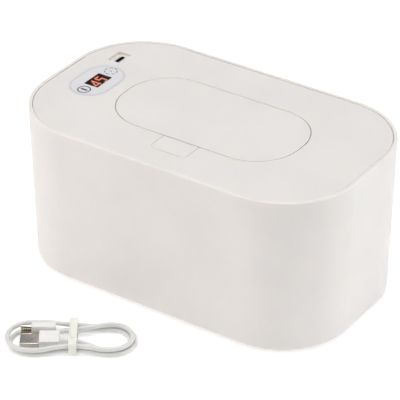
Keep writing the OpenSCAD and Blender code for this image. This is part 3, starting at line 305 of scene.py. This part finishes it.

# %% [markdown]
# The cover, lid and tab are the same plastic, but their upright faces are the walls of the seams.
# Light bounces many times between such walls, and each bounce makes it warmer. A renderer stops
# counting after a few bounces, which leaves the seams grey. So this bounce light is painted into the
# colour: the finish turns warmer and lighter as a face turns upright, and stays plain ivory on
# everything that faces up.

# %% Ivory ABS with painted bounce light on the seam walls
# Upright share of a face's normal below which it is a full wall, and above which it is a flat
WALL_Z, FLAT_Z = 0.3, 0.85
painted_seam_light_abs = ivory_abs.copy()
painted_seam_light_abs.name = "spark_eroded_ivory_abs_with_painted_seam_light"
tree = painted_seam_light_abs.node_tree
surface = next(n for n in tree.nodes if n.type == "BSDF_PRINCIPLED")
ivory = surface.inputs["Base Color"].links[0].from_socket
facing = add(tree, "ShaderNodeTexCoord").outputs["Normal"]
parts = add(tree, "ShaderNodeSeparateXYZ", [(facing, "Vector")])
level = add(tree, "ShaderNodeMath", [(parts.outputs["Z"], 0)], operation="ABSOLUTE")
upright = add(
    tree,
    "ShaderNodeMapRange",
    [(level.outputs["Value"], "Value")],
    From_Min=WALL_Z,
    From_Max=FLAT_Z,
    To_Min=1.0,
    To_Max=0.0,
)
# Painted bounce light: upright seam walls mix towards a warmer, lighter ivory
painted_bounce_light = add(
    tree, "ShaderNodeMix", [(upright.outputs["Result"], 0), (ivory, 6)], data_type="RGBA", blend_type="MIX"
)
painted_bounce_light.inputs[7].default_value = linear("#EEE6DC")
tree.links.new(painted_bounce_light.outputs[2], surface.inputs["Base Color"])
paint(painted_seam_light_abs, "cover_panel", "lid_cap", "release_button")

# %% [markdown]
# The tub, the cover's lower half and the lid's lining touch the wet wipes, so they are natural
# polypropylene: whiter and a little waxy, because light goes some way in before it comes back.

# %% White polypropylene
white_pp, tree, surface, place = finish("waxy_white_polypropylene", Roughness=0.36, IOR=1.49)
mottle(tree, surface, place, "#E6E7E6", "#ECECEA", size_mm=30.0)
grain(tree, surface, place, size_mm=1.2, depth_mm=0.003, rough=(0.32, 0.42))
paint(white_pp, "inner_tub", "cover_liner", "lid_liner")

# %% [markdown]
# ## Soft and hidden layers
# Closed-cell polyethylene foam keeps the heat in. Its skin is matt, with cells about a millimetre
# across that a Voronoi pattern draws well. The seals and the mouth are translucent silicone, and
# the feet are grey rubber with a dull bloom.

# %% Foam, silicone and rubber
pe_foam, tree, surface, place = finish("closed_cell_foam", Roughness=0.9, IOR=1.4)
mottle(tree, surface, place, "#C4C7CA", "#D2D4D6", size_mm=6.0)
cells = add(tree, "ShaderNodeTexVoronoi", [(place, "Vector")], Scale=per_metre(1.2))
dents = add(tree, "ShaderNodeBump", [(cells.outputs["Distance"], "Height")], Distance=0.25 * MM)
tree.links.new(dents.outputs["Normal"], surface.inputs["Normal"])
paint(pe_foam, "insulation_wrap", "insulation_pad", "heater_insulation")

silicone, tree, surface, place = finish("milky_silicone", Roughness=0.5, IOR=1.41)
mottle(tree, surface, place, "#D3D7D9", "#DFE2E3", size_mm=9.0)
grain(tree, surface, place, size_mm=0.9, depth_mm=0.004, rough=(0.44, 0.58))
paint(silicone, "cover_gasket", "wipe_outlet", "lid_seal")

foot_rubber, tree, surface, place = finish("moulded_grey_rubber", Roughness=0.8, IOR=1.5)
mottle(tree, surface, place, "#86888A", "#939495", size_mm=5.0)
grain(tree, surface, place, size_mm=0.5, depth_mm=0.02, rough=(0.7, 0.9))
paint(foot_rubber, "rubber_feet")

# %% [markdown]
# ## Heater
# The heater is a thin rolled aluminium plate with an amber polyimide film on it. Rolling leaves
# fine straight lines along the sheet, which a noise stretched along X gives. In the film a copper
# track runs to and fro, and a wave pattern with a hard edge draws it.

# %% Rolled aluminium
ROLL_LINE_L, ROLL_LINE_W = 25.0, 0.4
rolled_aluminium, tree, surface, place = finish("rolled_aluminium", Metallic=1.0, Roughness=0.34)
roll_scale = (per_metre(ROLL_LINE_L), per_metre(ROLL_LINE_W), per_metre(ROLL_LINE_W))
along = add(tree, "ShaderNodeMapping", [(place, "Vector")], Scale=roll_scale)
lines = add(tree, "ShaderNodeTexNoise", [(along.outputs["Vector"], "Vector")], Scale=1.0, Detail=2.0)
shade = add(tree, "ShaderNodeValToRGB", [(lines.outputs["Fac"], "Fac")])
shade.color_ramp.elements[0].color = linear("#B7BABD")
shade.color_ramp.elements[1].color = linear("#D3D5D7")
tree.links.new(shade.outputs["Color"], surface.inputs["Base Color"])
spread = add(tree, "ShaderNodeMapRange", [(lines.outputs["Fac"], "Value")], To_Min=0.26, To_Max=0.42)
tree.links.new(spread.outputs["Result"], surface.inputs["Roughness"])
paint(rolled_aluminium, "heater_plate")

# %% Polyimide film with its copper track
TRACK_PITCH = 15.79
# The wave node draws this many of its bands in one unit
WAVES_PER_UNIT = 20 / (2 * math.pi)
polyimide, tree, surface, place = finish("amber_polyimide", Roughness=0.28, IOR=1.7)
track = add(
    tree,
    "ShaderNodeTexWave",
    [(place, "Vector")],
    bands_direction="Y",
    Scale=per_metre(TRACK_PITCH * WAVES_PER_UNIT),
)
edge = add(tree, "ShaderNodeValToRGB", [(track.outputs["Fac"], "Fac")])
edge.color_ramp.elements[0].position = 0.55
edge.color_ramp.elements[0].color = linear("#B8702A")
edge.color_ramp.elements[1].position = 0.6
edge.color_ramp.elements[1].color = linear("#8A4A1C")
tree.links.new(edge.outputs["Color"], surface.inputs["Base Color"])
paint(polyimide, "heating_film")

# %% [markdown]
# ## Screws, pin and springs
# Screws and the hinge pin are zinc-plated steel, bright but cloudy. The springs are drawn wire
# with a nickel flash, which is smoother and darker.

# %% Plated metals
zinc_steel, tree, surface, place = finish("zinc_plated_steel", Metallic=1.0, Roughness=0.38)
mottle(tree, surface, place, "#A9ACB0", "#C6C9CC", size_mm=1.5)
grain(tree, surface, place, size_mm=0.4, depth_mm=0.004, rough=(0.3, 0.46))
paint(zinc_steel, "heater_screws", "cover_screws", "board_screws", "hinge_pin")

spring_wire, tree, surface, place = finish("nickel_flashed_wire", Metallic=1.0, Roughness=0.26)
mottle(tree, surface, place, "#9FA2A5", "#B9BBBE", size_mm=2.0)
grain(tree, surface, place, size_mm=0.6, depth_mm=0.002, rough=(0.2, 0.32))

plug_metal, tree, surface, place = finish("bright_nickel_shell", Metallic=1.0, Roughness=0.2)
mottle(tree, surface, place, "#CFC9C2", "#E2DCD5", size_mm=4.0)
grain(tree, surface, place, size_mm=1.0, depth_mm=0.002, rough=(0.12, 0.2))
paint(plug_metal, "usb_a_shell", "usb_c_shell")

# %% [markdown]
# The charging socket is a drawn steel shell round a black nylon insert and tongue. In the photograph
# its mouth is a black slot with a thin bright lip, so the metal shows only on the lip. Below it the
# finish is dark and dull: partly the nylon's own black, partly painted shade on the steel walls.

# %% Socket with its black insert and painted shade below the lip
LIP_T, LIP_SOLID = 0.25, 0.15
socket_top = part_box("usb_c_socket")[1][2]
socket_lip_and_painted_shade, tree, surface, place = finish("socket_lip_nylon_insert_and_painted_shade", Roughness=0.3, IOR=1.53)
height = add(tree, "ShaderNodeSeparateXYZ", [(place, "Vector")])
on_lip = add(
    tree,
    "ShaderNodeMapRange",
    [(height.outputs["Z"], "Value")],
    From_Min=socket_top - LIP_T * MM,
    From_Max=socket_top - LIP_SOLID * MM,
)
# Below the lip: the insert's own black and painted shade on the steel walls; on the lip: steel
lip_insert_and_painted_shade_colour = add(tree, "ShaderNodeMix", [(on_lip.outputs["Result"], 0)], data_type="RGBA")
lip_insert_and_painted_shade_colour.inputs[6].default_value = linear("#1B1715")
lip_insert_and_painted_shade_colour.inputs[7].default_value = linear("#C6C4C0")
tree.links.new(lip_insert_and_painted_shade_colour.outputs[2], surface.inputs["Base Color"])
tree.links.new(on_lip.outputs["Result"], surface.inputs["Metallic"])
grain(tree, surface, place, size_mm=0.6, depth_mm=0.003)
paint(socket_lip_and_painted_shade, "usb_c_socket")

# %% [markdown]
# ## Electrics
# The board is glass-epoxy under green solder mask, with tracks that show as slightly lighter
# lines. The chips are black moulded epoxy, the thermistor is a dark bead and the fuse a pale
# ceramic tube. The leads have red and black PVC insulation.

# %% Board and small parts
BOARD_T = 1.6
solder_mask, tree, surface, place = finish("green_solder_mask", Roughness=0.35, IOR=1.55)
tracks = add(tree, "ShaderNodeTexBrick", [(place, "Vector")], Scale=per_metre(9.0), Mortar_Size=0.03)
tracks.inputs["Color1"].default_value = linear("#235B3C")
tracks.inputs["Color2"].default_value = linear("#286444")
tracks.inputs["Mortar"].default_value = linear("#3F8560")
tree.links.new(tracks.outputs["Color"], surface.inputs["Base Color"])
paint(solder_mask, "control_board")

chip_epoxy, tree, surface, place = finish("moulded_epoxy_and_nylon", Roughness=0.6, IOR=1.5)
top_side = add(tree, "ShaderNodeSeparateXYZ", [(place, "Vector")])
board_middle_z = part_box("control_board")[0][2] + BOARD_T / 2 * MM
side = add(tree, "ShaderNodeMath", [(top_side.outputs["Z"], 0)], operation="GREATER_THAN")
side.inputs[1].default_value = board_middle_z
tint = add(tree, "ShaderNodeMix", [(side.outputs["Value"], "Factor")], data_type="RGBA")
tint.inputs["A"].default_value = linear("#26272B")
tint.inputs["B"].default_value = linear("#E6E2D4")
tree.links.new(tint.outputs["Result"], surface.inputs["Base Color"])
grain(tree, surface, place, size_mm=0.4, depth_mm=0.01)
paint(chip_epoxy, "board_parts")

bead, tree, surface, place = finish("thermistor_epoxy", Roughness=0.4, IOR=1.5)
mottle(tree, surface, place, "#33281F", "#40322A", size_mm=1.0)
paint(bead, "thermistor")

ceramic, tree, surface, place = finish("fuse_ceramic", Roughness=0.3, IOR=1.6)
mottle(tree, surface, place, "#C9C4B8", "#D8D4C9", size_mm=2.0)
paint(ceramic, "thermal_fuse")

# %% [markdown]
# ## Control panel
# The panel is a thin polycarbonate film with a bluish-white print, let into the cover. Behind a
# dark window two red digits glow. The keys are touch keys, so there is nothing to model: they are
# only ink on the film, a ring with a bar in front and a dashed ring with a short sign behind. The
# ink is drawn by distances in mm from each key's middle, which stays sharp however near the camera
# comes.

# %% Where the prints lie
KEY_X, KEY_Y = -84.9, 14.2
RING_R, RING_LINE = 3.95, 0.75
BAR_L, BAR_W = 5.0, 1.5
SIGN_L, SIGN_W = 2.0, 0.9
DASHES, DASH_SHARE = 7, 0.68
FILM_AT, FILM_R, FILM_REACH = (-85.0, -0.4), 13.4, 7.0
BORDER_IN, BORDER_LINE = 0.9, 0.5
INK_EDGE = 0.15
print("keys at x", KEY_X, "and y", -KEY_Y, "and", KEY_Y, "mm")

# %% Ring and border


def mm_from(tree, place, middle):
    """Coordinates on the panel in mm from a point."""
    return add(
        tree,
        "ShaderNodeMapping",
        [(place, "Vector")],
        Location=(-middle[0], -middle[1], 0.0),
        Scale=(1 / MM, 1 / MM, 0.0),
    ).outputs["Vector"]


def ring_print(tree, at, ring_r=RING_R, line_w=RING_LINE):
    """1 on a ring's line and 0 off it, with a soft edge."""
    radius = add(tree, "ShaderNodeVectorMath", [(at, 0)], operation="LENGTH")
    off = add(tree, "ShaderNodeMath", [(radius.outputs["Value"], 0)], operation="SUBTRACT")
    off.inputs[1].default_value = ring_r
    away = add(tree, "ShaderNodeMath", [(off.outputs["Value"], 0)], operation="ABSOLUTE")
    line = add(
        tree,
        "ShaderNodeMapRange",
        [(away.outputs["Value"], "Value")],
        From_Min=line_w / 2 - INK_EDGE,
        From_Max=line_w / 2 + INK_EDGE,
        To_Min=1.0,
        To_Max=0.0,
    )
    return line.outputs["Result"]


def border_print(tree, place):
    """1 on the thin line that runs round the film's edge."""
    at = mm_from(tree, place, FILM_AT)
    parts = add(tree, "ShaderNodeSeparateXYZ", [(at, "Vector")])
    held = add(
        tree, "ShaderNodeClamp", [(parts.outputs["Y"], "Value")], Min=-FILM_REACH, Max=FILM_REACH
    )
    beyond = add(
        tree, "ShaderNodeMath", [(parts.outputs["Y"], 0), (held.outputs["Result"], 1)], operation="SUBTRACT"
    )
    from_core = add(
        tree, "ShaderNodeCombineXYZ", [(parts.outputs["X"], "X"), (beyond.outputs["Value"], "Y")]
    )
    return ring_print(tree, from_core.outputs["Vector"], FILM_R - BORDER_IN, BORDER_LINE)


# %% Bar and dashes


def bar_print(tree, at, length, width):
    """1 on a bar with round ends that lies along X, and 0 off it."""
    parts = add(tree, "ShaderNodeSeparateXYZ", [(at, "Vector")])
    reach = (length - width) / 2
    held = add(tree, "ShaderNodeClamp", [(parts.outputs["X"], "Value")], Min=-reach, Max=reach)
    beyond = add(
        tree, "ShaderNodeMath", [(parts.outputs["X"], 0), (held.outputs["Result"], 1)], operation="SUBTRACT"
    )
    from_core = add(
        tree, "ShaderNodeCombineXYZ", [(beyond.outputs["Value"], "X"), (parts.outputs["Y"], "Y")]
    )
    away = add(tree, "ShaderNodeVectorMath", [(from_core.outputs["Vector"], 0)], operation="LENGTH")
    bar = add(
        tree,
        "ShaderNodeMapRange",
        [(away.outputs["Value"], "Value")],
        From_Min=width / 2 - INK_EDGE,
        From_Max=width / 2 + INK_EDGE,
        To_Min=1.0,
        To_Max=0.0,
    )
    return bar.outputs["Result"]


def dashes(tree, at):
    """1 along each dash of a ring and 0 in its gaps."""
    parts = add(tree, "ShaderNodeSeparateXYZ", [(at, "Vector")])
    angle = add(
        tree, "ShaderNodeMath", [(parts.outputs["Y"], 0), (parts.outputs["X"], 1)], operation="ARCTAN2"
    )
    steps = add(tree, "ShaderNodeMath", [(angle.outputs["Value"], 0)], operation="MULTIPLY")
    steps.inputs[1].default_value = DASHES / (2 * math.pi)
    share = add(tree, "ShaderNodeMath", [(steps.outputs["Value"], 0)], operation="FLOORED_MODULO")
    share.inputs[1].default_value = 1.0
    dash = add(tree, "ShaderNodeMath", [(share.outputs["Value"], 0)], operation="LESS_THAN")
    dash.inputs[1].default_value = DASH_SHARE
    return dash.outputs["Value"]


# %% Film with its prints
panel_film, tree, surface, place = finish("printed_polycarbonate_film", Roughness=0.32, IOR=1.58)
film_white = mottle(tree, surface, place, "#DDDDE1", "#E1E1E4", size_mm=14.0)
grain(tree, surface, place, size_mm=0.7, depth_mm=0.002, rough=(0.28, 0.38))
power_at = mm_from(tree, place, (KEY_X, -KEY_Y))
heat_at = mm_from(tree, place, (KEY_X, KEY_Y))
power_mark = add(
    tree,
    "ShaderNodeMath",
    [(ring_print(tree, power_at), 0), (bar_print(tree, power_at, BAR_L, BAR_W), 1)],
    operation="MAXIMUM",
)
heat_ring = add(
    tree,
    "ShaderNodeMath",
    [(ring_print(tree, heat_at), 0), (dashes(tree, heat_at), 1)],
    operation="MULTIPLY",
)
heat_mark = add(
    tree,
    "ShaderNodeMath",
    [(heat_ring.outputs["Value"], 0), (bar_print(tree, heat_at, SIGN_L, SIGN_W), 1)],
    operation="MAXIMUM",
)
INKS = (
    (border_print(tree, place), "#C2C2CC"),
    (heat_mark.outputs["Value"], "#85858C"),
    (power_mark.outputs["Value"], "#2C2831"),
)
printed = film_white.outputs["Color"]
for mark, ink in INKS:
    inked = add(tree, "ShaderNodeMix", [(mark, 0), (printed, 6)], data_type="RGBA")
    inked.inputs[7].default_value = linear(ink)
    printed = inked.outputs[2]
tree.links.new(printed, surface.inputs["Base Color"])
paint(panel_film, "control_overlay")
print("the film's material has", len(tree.nodes), "nodes")

# %% Window and digits
smoked_window, tree, surface, place = finish(
    "smoked_acrylic", Roughness=0.1, IOR=1.2, Transmission_Weight=1.0
)
mottle(tree, surface, place, "#8A7A74", "#93827C", size_mm=8.0)
paint(smoked_window, "display_window")

display_case, tree, surface, place = finish("display_body", Roughness=0.7, IOR=1.5)
mottle(tree, surface, place, "#16110F", "#1C1614", size_mm=5.0)
paint(display_case, "display_module")

lit_segment, tree, surface, place = finish("lit_segment", Roughness=0.5)
mottle(tree, surface, place, "#FF7A55", "#FF8A66", size_mm=1.0)
surface.inputs["Emission Color"].default_value = linear("#FFA892")
surface.inputs["Emission Strength"].default_value = 3.0
paint(lit_segment, "display_digits")

# %% [markdown]
# ## Cable, plugs and tie
# The cord's jacket is soft PVC with a low sheen. The plugs' grips are a harder moulding of the
# same white, and the tie is a soft ivory strap.

# %% Jacket, grips and tie
pvc_jacket, tree, surface, place = finish("extruded_white_pvc", Roughness=0.38, IOR=1.53)
mottle(tree, surface, place, "#DCDCDB", "#E5E5E3", size_mm=12.0)
grain(tree, surface, place, size_mm=1.0, depth_mm=0.004, rough=(0.32, 0.46))
paint(pvc_jacket, "cable_cord")

grip_plastic, tree, surface, place = finish("moulded_white_grip", Roughness=0.4, IOR=1.5)
mottle(tree, surface, place, "#EAEAE8", "#F1F1EF", size_mm=9.0)
grain(tree, surface, place, size_mm=0.8, depth_mm=0.004, rough=(0.34, 0.46))
paint(grip_plastic, "usb_a_grip", "usb_c_grip")

soft_tie, tree, surface, place = finish("soft_ivory_polyethylene", Roughness=0.55, IOR=1.5)
mottle(tree, surface, place, "#E6E8DF", "#EDEEE6", size_mm=7.0)
grain(tree, surface, place, size_mm=0.9, depth_mm=0.006, rough=(0.48, 0.62))
paint(soft_tie, "cable_tie")

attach(cable, "case")
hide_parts("usb_cable")

# %% [markdown]
# ## Soft edges
# A mould never leaves a knife edge. The CAD pieces are welded, their flat faces are cleared of
# needless triangles, and a small bevel rounds every edge sharper than the limit. Each width is the
# radius that a moulder would leave there. Where an edge is chamfered in CAD, the bevels on its two
# sides share the chamfer's face, so a width stays under half of it: past that they fold over each
# other and draw a dark line. The CAD mesh itself isn't touched: these are modifiers.

# %% Bevel the moulded pieces
EDGE_RADIUS_MM = {
    "outer_shell": 0.3,
    "cover_panel": 0.15,
    "lid_cap": 0.2,
    "release_button": 0.2,
    "cover_liner": 0.3,
    "inner_tub": 0.4,
    "lid_liner": 0.25,
    "wipe_outlet": 0.5,
    "lid_seal": 0.3,
    "cover_gasket": 0.3,
    "rubber_feet": 0.4,
    "cable_tie": 0.25,
    "usb_a_grip": 0.5,
    "usb_c_grip": 0.5,
    "usb_a_shell": 0.08,
    "usb_c_shell": 0.08,
    "heater_plate": 0.2,
    "display_window": 0.15,
}
SHARP_ANGLE, FLAT_ANGLE = math.radians(28), math.radians(1)
WELD_REACH = 1e-6
ROUNDING_STEPS = 3


def soften(obj, radius):
    """Rounds the sharp edges of a piece by modifiers."""
    weld = obj.modifiers.new("weld", "WELD")
    weld.merge_threshold = WELD_REACH
    flat = obj.modifiers.new("clear_flats", "DECIMATE")
    flat.decimate_type = "DISSOLVE"
    flat.angle_limit = FLAT_ANGLE
    edge = obj.modifiers.new("edge_radius", "BEVEL")
    edge.limit_method = "ANGLE"
    edge.angle_limit = SHARP_ANGLE
    edge.width = radius
    edge.segments = ROUNDING_STEPS
    edge.use_clamp_overlap = False
    edge.harden_normals = True


for name, radius_mm in EDGE_RADIUS_MM.items():
    soften(nodes[name], radius_mm * MM)
print("softened", len(EDGE_RADIUS_MM), "pieces")

# %% [markdown]
# ## Springs
# A spring is one wire on a helix, so Geometry Nodes draw it from four numbers: turns, height,
# radius and wire. The Curve Spiral node gives the helix and Curve to Mesh wraps the wire round it.

# %% Spring tree


def spring_tree():
    """Geometry tree of one upright coil spring."""
    tree = bpy.data.node_groups.new("helix_spring", "GeometryNodeTree")
    face = tree.interface
    face.new_socket("Geometry", in_out="OUTPUT", socket_type="NodeSocketGeometry")
    for label in ("Turns", "Height", "Radius", "Wire"):
        face.new_socket(label, in_out="INPUT", socket_type="NodeSocketFloat")
    face.new_socket("Finish", in_out="INPUT", socket_type="NodeSocketMaterial")
    given = add(tree, "NodeGroupInput").outputs
    helix = add(
        tree,
        "GeometryNodeCurveSpiral",
        [
            (given["Turns"], "Rotations"),
            (given["Radius"], "Start Radius"),
            (given["Radius"], "End Radius"),
            (given["Height"], "Height"),
        ],
        Resolution=20,
    )
    wire = add(tree, "GeometryNodeCurvePrimitiveCircle", [(given["Wire"], "Radius")], Resolution=8)
    swept = add(
        tree,
        "GeometryNodeCurveToMesh",
        [(helix.outputs["Curve"], "Curve"), (wire.outputs["Curve"], "Profile Curve")],
        Fill_Caps=True,
    )
    real = add(tree, "GeometryNodeRealizeInstances", [(swept.outputs["Mesh"], "Geometry")])
    dressed = add(
        tree,
        "GeometryNodeSetMaterial",
        [(real.outputs["Geometry"], "Geometry"), (given["Finish"], "Material")],
    )
    output = add(tree, "NodeGroupOutput")
    tree.links.new(dressed.outputs["Geometry"], output.inputs["Geometry"])
    return tree


def from_nodes(name, tree, values):
    """Runs a geometry tree with named inputs and returns the plain mesh that it makes."""
    holder = link(bpy.data.objects.new(name + "_maker", bpy.data.meshes.new(name + "_maker")))
    modifier = holder.modifiers.new("maker", "NODES")
    modifier.node_group = tree
    for item in tree.interface.items_tree:
        if item.in_out == "INPUT" and item.name in values:
            modifier[item.identifier] = values[item.name]
    graph = bpy.context.evaluated_depsgraph_get()
    mesh = bpy.data.meshes.new_from_object(holder.evaluated_get(graph))
    bpy.data.objects.remove(holder)
    mesh.name = name
    return mesh


helix_spring = spring_tree()
print("the spring's tree has", len(helix_spring.nodes), "nodes")

# %% Touch springs and the tab's spring
TOUCH_TURNS, TOUCH_R, TOUCH_WIRE = 5.0, 2.8 * MM, 0.25 * MM
TAB_TURNS, TAB_R, TAB_WIRE = 5.0, 2.4 * MM, 0.25 * MM


def smooth_faces(mesh):
    mesh.polygons.foreach_set("use_smooth", [True] * len(mesh.polygons))


def place_mesh(name, parts):
    """Moves each mesh to its place and joins them into one object at the origin."""
    joined = bmesh.new()
    for mesh, move in parts:
        mesh.transform(Matrix.Translation(move))
        joined.from_mesh(mesh)
    mesh = parts[0][0]
    joined.to_mesh(mesh)
    joined.free()
    smooth_faces(mesh)
    return link(bpy.data.objects.new(name, mesh))


def coil_mesh(name, turns, height, radius, wire):
    """Plain mesh of one upright coil spring."""
    values = {"Turns": turns, "Height": height, "Radius": radius, "Wire": wire, "Finish": spring_wire}
    return from_nodes(name, helix_spring, values)


touch_low, touch_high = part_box("touch_springs")
touch_x = (touch_low[0] + touch_high[0]) / 2
touch_height = touch_high[2] - touch_low[2] - 2 * TOUCH_WIRE
touch_parts = []
for side_y in (touch_low[1] + TOUCH_R + TOUCH_WIRE, touch_high[1] - TOUCH_R - TOUCH_WIRE):
    mesh = coil_mesh("touch_coil", TOUCH_TURNS, touch_height, TOUCH_R, TOUCH_WIRE)
    touch_parts.append((mesh, Vector((touch_x, side_y, touch_low[2] + TOUCH_WIRE))))
touch_coils = place_mesh("touch_coils", touch_parts)
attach(touch_coils, "top_cover")
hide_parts("touch_springs")

tab_low, tab_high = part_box("button_spring")
tab_height = tab_high[2] - tab_low[2]
tab_mesh = coil_mesh("tab_coil", TAB_TURNS, tab_height - 2 * TAB_WIRE, TAB_R, TAB_WIRE)
tab_x, tab_y = (tab_low[0] + tab_high[0]) / 2, (tab_low[1] + tab_high[1]) / 2
tab_middle = Vector((tab_x, tab_y, tab_low[2] + TAB_WIRE))
tab_coil = place_mesh("tab_coil", [(tab_mesh, tab_middle)])
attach(tab_coil, "top_cover")
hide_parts("button_spring")
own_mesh(tab_coil)
print("springs:", len(touch_coils.data.polygons), "and", len(tab_coil.data.polygons), "faces")

# %% [markdown]
# The lid's two springs wind round the hinge pin and end in straight legs, one along the cover and
# one down the hinge arm. A helix with legs isn't a plain spiral, so a curve through worked-out
# points makes each one. The leads from the board to the heater are such curves too.

# %% Lid springs and leads
HINGE_Y, HINGE_Z, LID_X = 41.6, 101.6, 1.0
SPRING_R, SPRING_LEG, SPRING_TURNS, SPRING_WIRE = 1.75, 6.0, 6, 0.3
# Faces between which a lid spring sits, and its air gap to each
LUG_X, LUG_GAP = 15.3, 0.1
ARM_X, ARM_GAP = 21.5, 0.15
RINGS_PER_TURN = 12


def tube_mesh(name, runs, radius, material):
    """One mesh of smooth round tubes through the points of each run, in mm."""
    made = []
    for number, points in enumerate(runs):
        curve = cord_curve(f"{name}_{number}", [Vector(p) * MM for p in points], radius * MM)
        curve.data.bevel_resolution = 2
        curve.data.resolution_u = 4
        made.append(curve)
    graph = bpy.context.evaluated_depsgraph_get()
    joined = bmesh.new()
    for curve in made:
        joined.from_mesh(bpy.data.meshes.new_from_object(curve.evaluated_get(graph)))
        bpy.data.objects.remove(curve)
    mesh = bpy.data.meshes.new(name)
    joined.to_mesh(mesh)
    joined.free()
    smooth_faces(mesh)
    mesh.materials.append(material)
    return link(bpy.data.objects.new(name, mesh))


def lid_spring(side):
    """Points of one lid spring, from its leg along the cover to its leg down the arm."""
    start = LUG_X + LUG_GAP + SPRING_WIRE
    stop = ARM_X - ARM_GAP - SPRING_WIRE
    count = int((SPRING_TURNS + 0.25) * RINGS_PER_TURN)
    points = [(side * start, SPRING_LEG, SPRING_R)]
    for i in range(count + 1):
        angle = math.radians(90 + 360 * i / RINGS_PER_TURN)
        x = side * mix(start, stop, i / count)
        points.append((x, SPRING_R * math.cos(angle), SPRING_R * math.sin(angle)))
    points.append((side * stop, -SPRING_R, -SPRING_LEG))
    return [(x + LID_X, y + HINGE_Y, z + HINGE_Z) for x, y, z in points]


lid_coils = tube_mesh("lid_coils", [lid_spring(-1), lid_spring(1)], SPRING_WIRE, spring_wire)
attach(lid_coils, "top_cover")
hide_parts("lid_springs")

BOARD_RIGHT, LEAD_X, LEAD_TOP = -69.5, -67.3, 96.6
HEATER_LEAD_Y, HEATER_LEAD_LOW, HEATER_LEAD_R = (11, 13.4), 83.4, 0.6
SENSOR_LEAD_Y, SENSOR_LEAD_LOW, SENSOR_LEAD_R = (16, 17.6), 83.7, 0.4


def lead(y, low):
    """Route of one lead from its plug on the board down to the heater."""
    return [
        (BOARD_RIGHT - 1.4, y, LEAD_TOP),
        (BOARD_RIGHT + 0.4, y, LEAD_TOP),
        (LEAD_X - 0.5, y, LEAD_TOP - 0.7),
        (LEAD_X, y, LEAD_TOP - 2.4),
        (LEAD_X, y, low + 2.5),
        (LEAD_X, y, low + 1.2),
        (LEAD_X - 0.3, y, low + 0.3),
        (LEAD_X - 1, y, low),
    ]


red_pvc, tree, surface, place = finish("red_pvc_insulation", Roughness=0.4, IOR=1.53)
mottle(tree, surface, place, "#B02E27", "#BE3A31", size_mm=3.0)
black_pvc, tree, surface, place = finish("black_pvc_insulation", Roughness=0.42, IOR=1.53)
mottle(tree, surface, place, "#26282B", "#313337", size_mm=3.0)
heater_runs = [lead(y, HEATER_LEAD_LOW) for y in HEATER_LEAD_Y]
heater_wires = tube_mesh("heater_wires", heater_runs, HEATER_LEAD_R, red_pvc)
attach(heater_wires, "top_cover")
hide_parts("heater_leads")
sensor_runs = [lead(y, SENSOR_LEAD_LOW) for y in SENSOR_LEAD_Y]
sensor_wires = tube_mesh("sensor_wires", sensor_runs, SENSOR_LEAD_R, black_pvc)
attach(sensor_wires, "top_cover")
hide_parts("sensor_leads")
print("lid springs and leads:", len(lid_coils.data.polygons), "faces in the springs")

# %% [markdown]
# ## Table and light
# A pale table and a white room give the even brightness of a catalogue picture. Three large soft
# lights add the form: one straight above, one on the right and one in front on the left, so that
# the end and the top are brightest. The room is darker behind the camera, as if a black flag stood
# there: that darkens the rounded corner between front and end, which gives the case its form. The
# strengths come from rendering each light alone and fitting the sum to the photograph, and were
# then trimmed. None stands behind the warmer, where the dark window would mirror it.

# %% Table
TABLE_SIZE = 6.0
TABLE_GLOW = 0.38
table_mesh = bpy.data.meshes.new("table")
half = TABLE_SIZE / 2
corners = [(-half, -half, 0), (half, -half, 0), (half, half, 0), (-half, half, 0)]
table_mesh.from_pydata(corners, [], [(0, 1, 2, 3)])
table = link(bpy.data.objects.new("table", table_mesh))
table_white, tree, surface, place = finish("lit_white_acrylic_table", Roughness=0.8)
mottle(tree, surface, place, "#E8E8E8", "#EAEAEA", size_mm=300.0)
surface.inputs["Emission Color"].default_value = (1.0, 1.0, 1.0, 1.0)
surface.inputs["Emission Strength"].default_value = TABLE_GLOW
table.data.materials.append(table_white)
print("table:", TABLE_SIZE, "m square")

# %% Lights
world = bpy.data.worlds.new("studio")
world.use_nodes = True
bpy.context.scene.world = world
tree = world.node_tree
room = tree.nodes["Background"]
room.inputs["Color"].default_value = (1.0, 1.0, 1.0, 1.0)
WALLS, FLAG = 0.37, 0.04
FLAG_TOWARDS = direction(42, 15)
# Cosines of the angles from the flag's middle at which it starts to fade and is gone
FLAG_CORE, FLAG_EDGE = 0.9, 0.72
towards = add(tree, "ShaderNodeTexCoord").outputs["Generated"]
near_flag = add(tree, "ShaderNodeVectorMath", [(towards, 0)], operation="DOT_PRODUCT")
near_flag.inputs[1].default_value = FLAG_TOWARDS
shade = add(
    tree,
    "ShaderNodeMapRange",
    [(near_flag.outputs["Value"], "Value")],
    From_Min=FLAG_EDGE,
    From_Max=FLAG_CORE,
    To_Min=WALLS,
    To_Max=FLAG,
)
tree.links.new(shade.outputs["Result"], room.inputs["Strength"])


AIM = Vector((0, 0, 0.05))


def softbox(name, azimuth, elevation, distance, size, watts, colour):
    """A square area light that looks at the middle of the case."""
    light = bpy.data.lights.new(name, "AREA")
    light.shape = "SQUARE"
    light.size = size
    light.energy = watts
    light.color = linear(colour)[:3]
    lamp = link(bpy.data.objects.new(name, light))
    away = direction(azimuth, elevation)
    lamp.location = AIM + away * distance
    lamp.rotation_euler = away.to_track_quat("Z", "Y").to_euler()
    return lamp


softbox("top_light", 0, 88, 1.5, 1.2, 13.8, "#FFFFFF")
softbox("front_light", -38, 22, 1.6, 1.2, 7.5, "#FFF7F1")
softbox("right_light", 105, 15, 1.4, 1.0, 6.1, "#FFFFFF")
bpy.context.scene.view_settings.view_transform = "Standard"
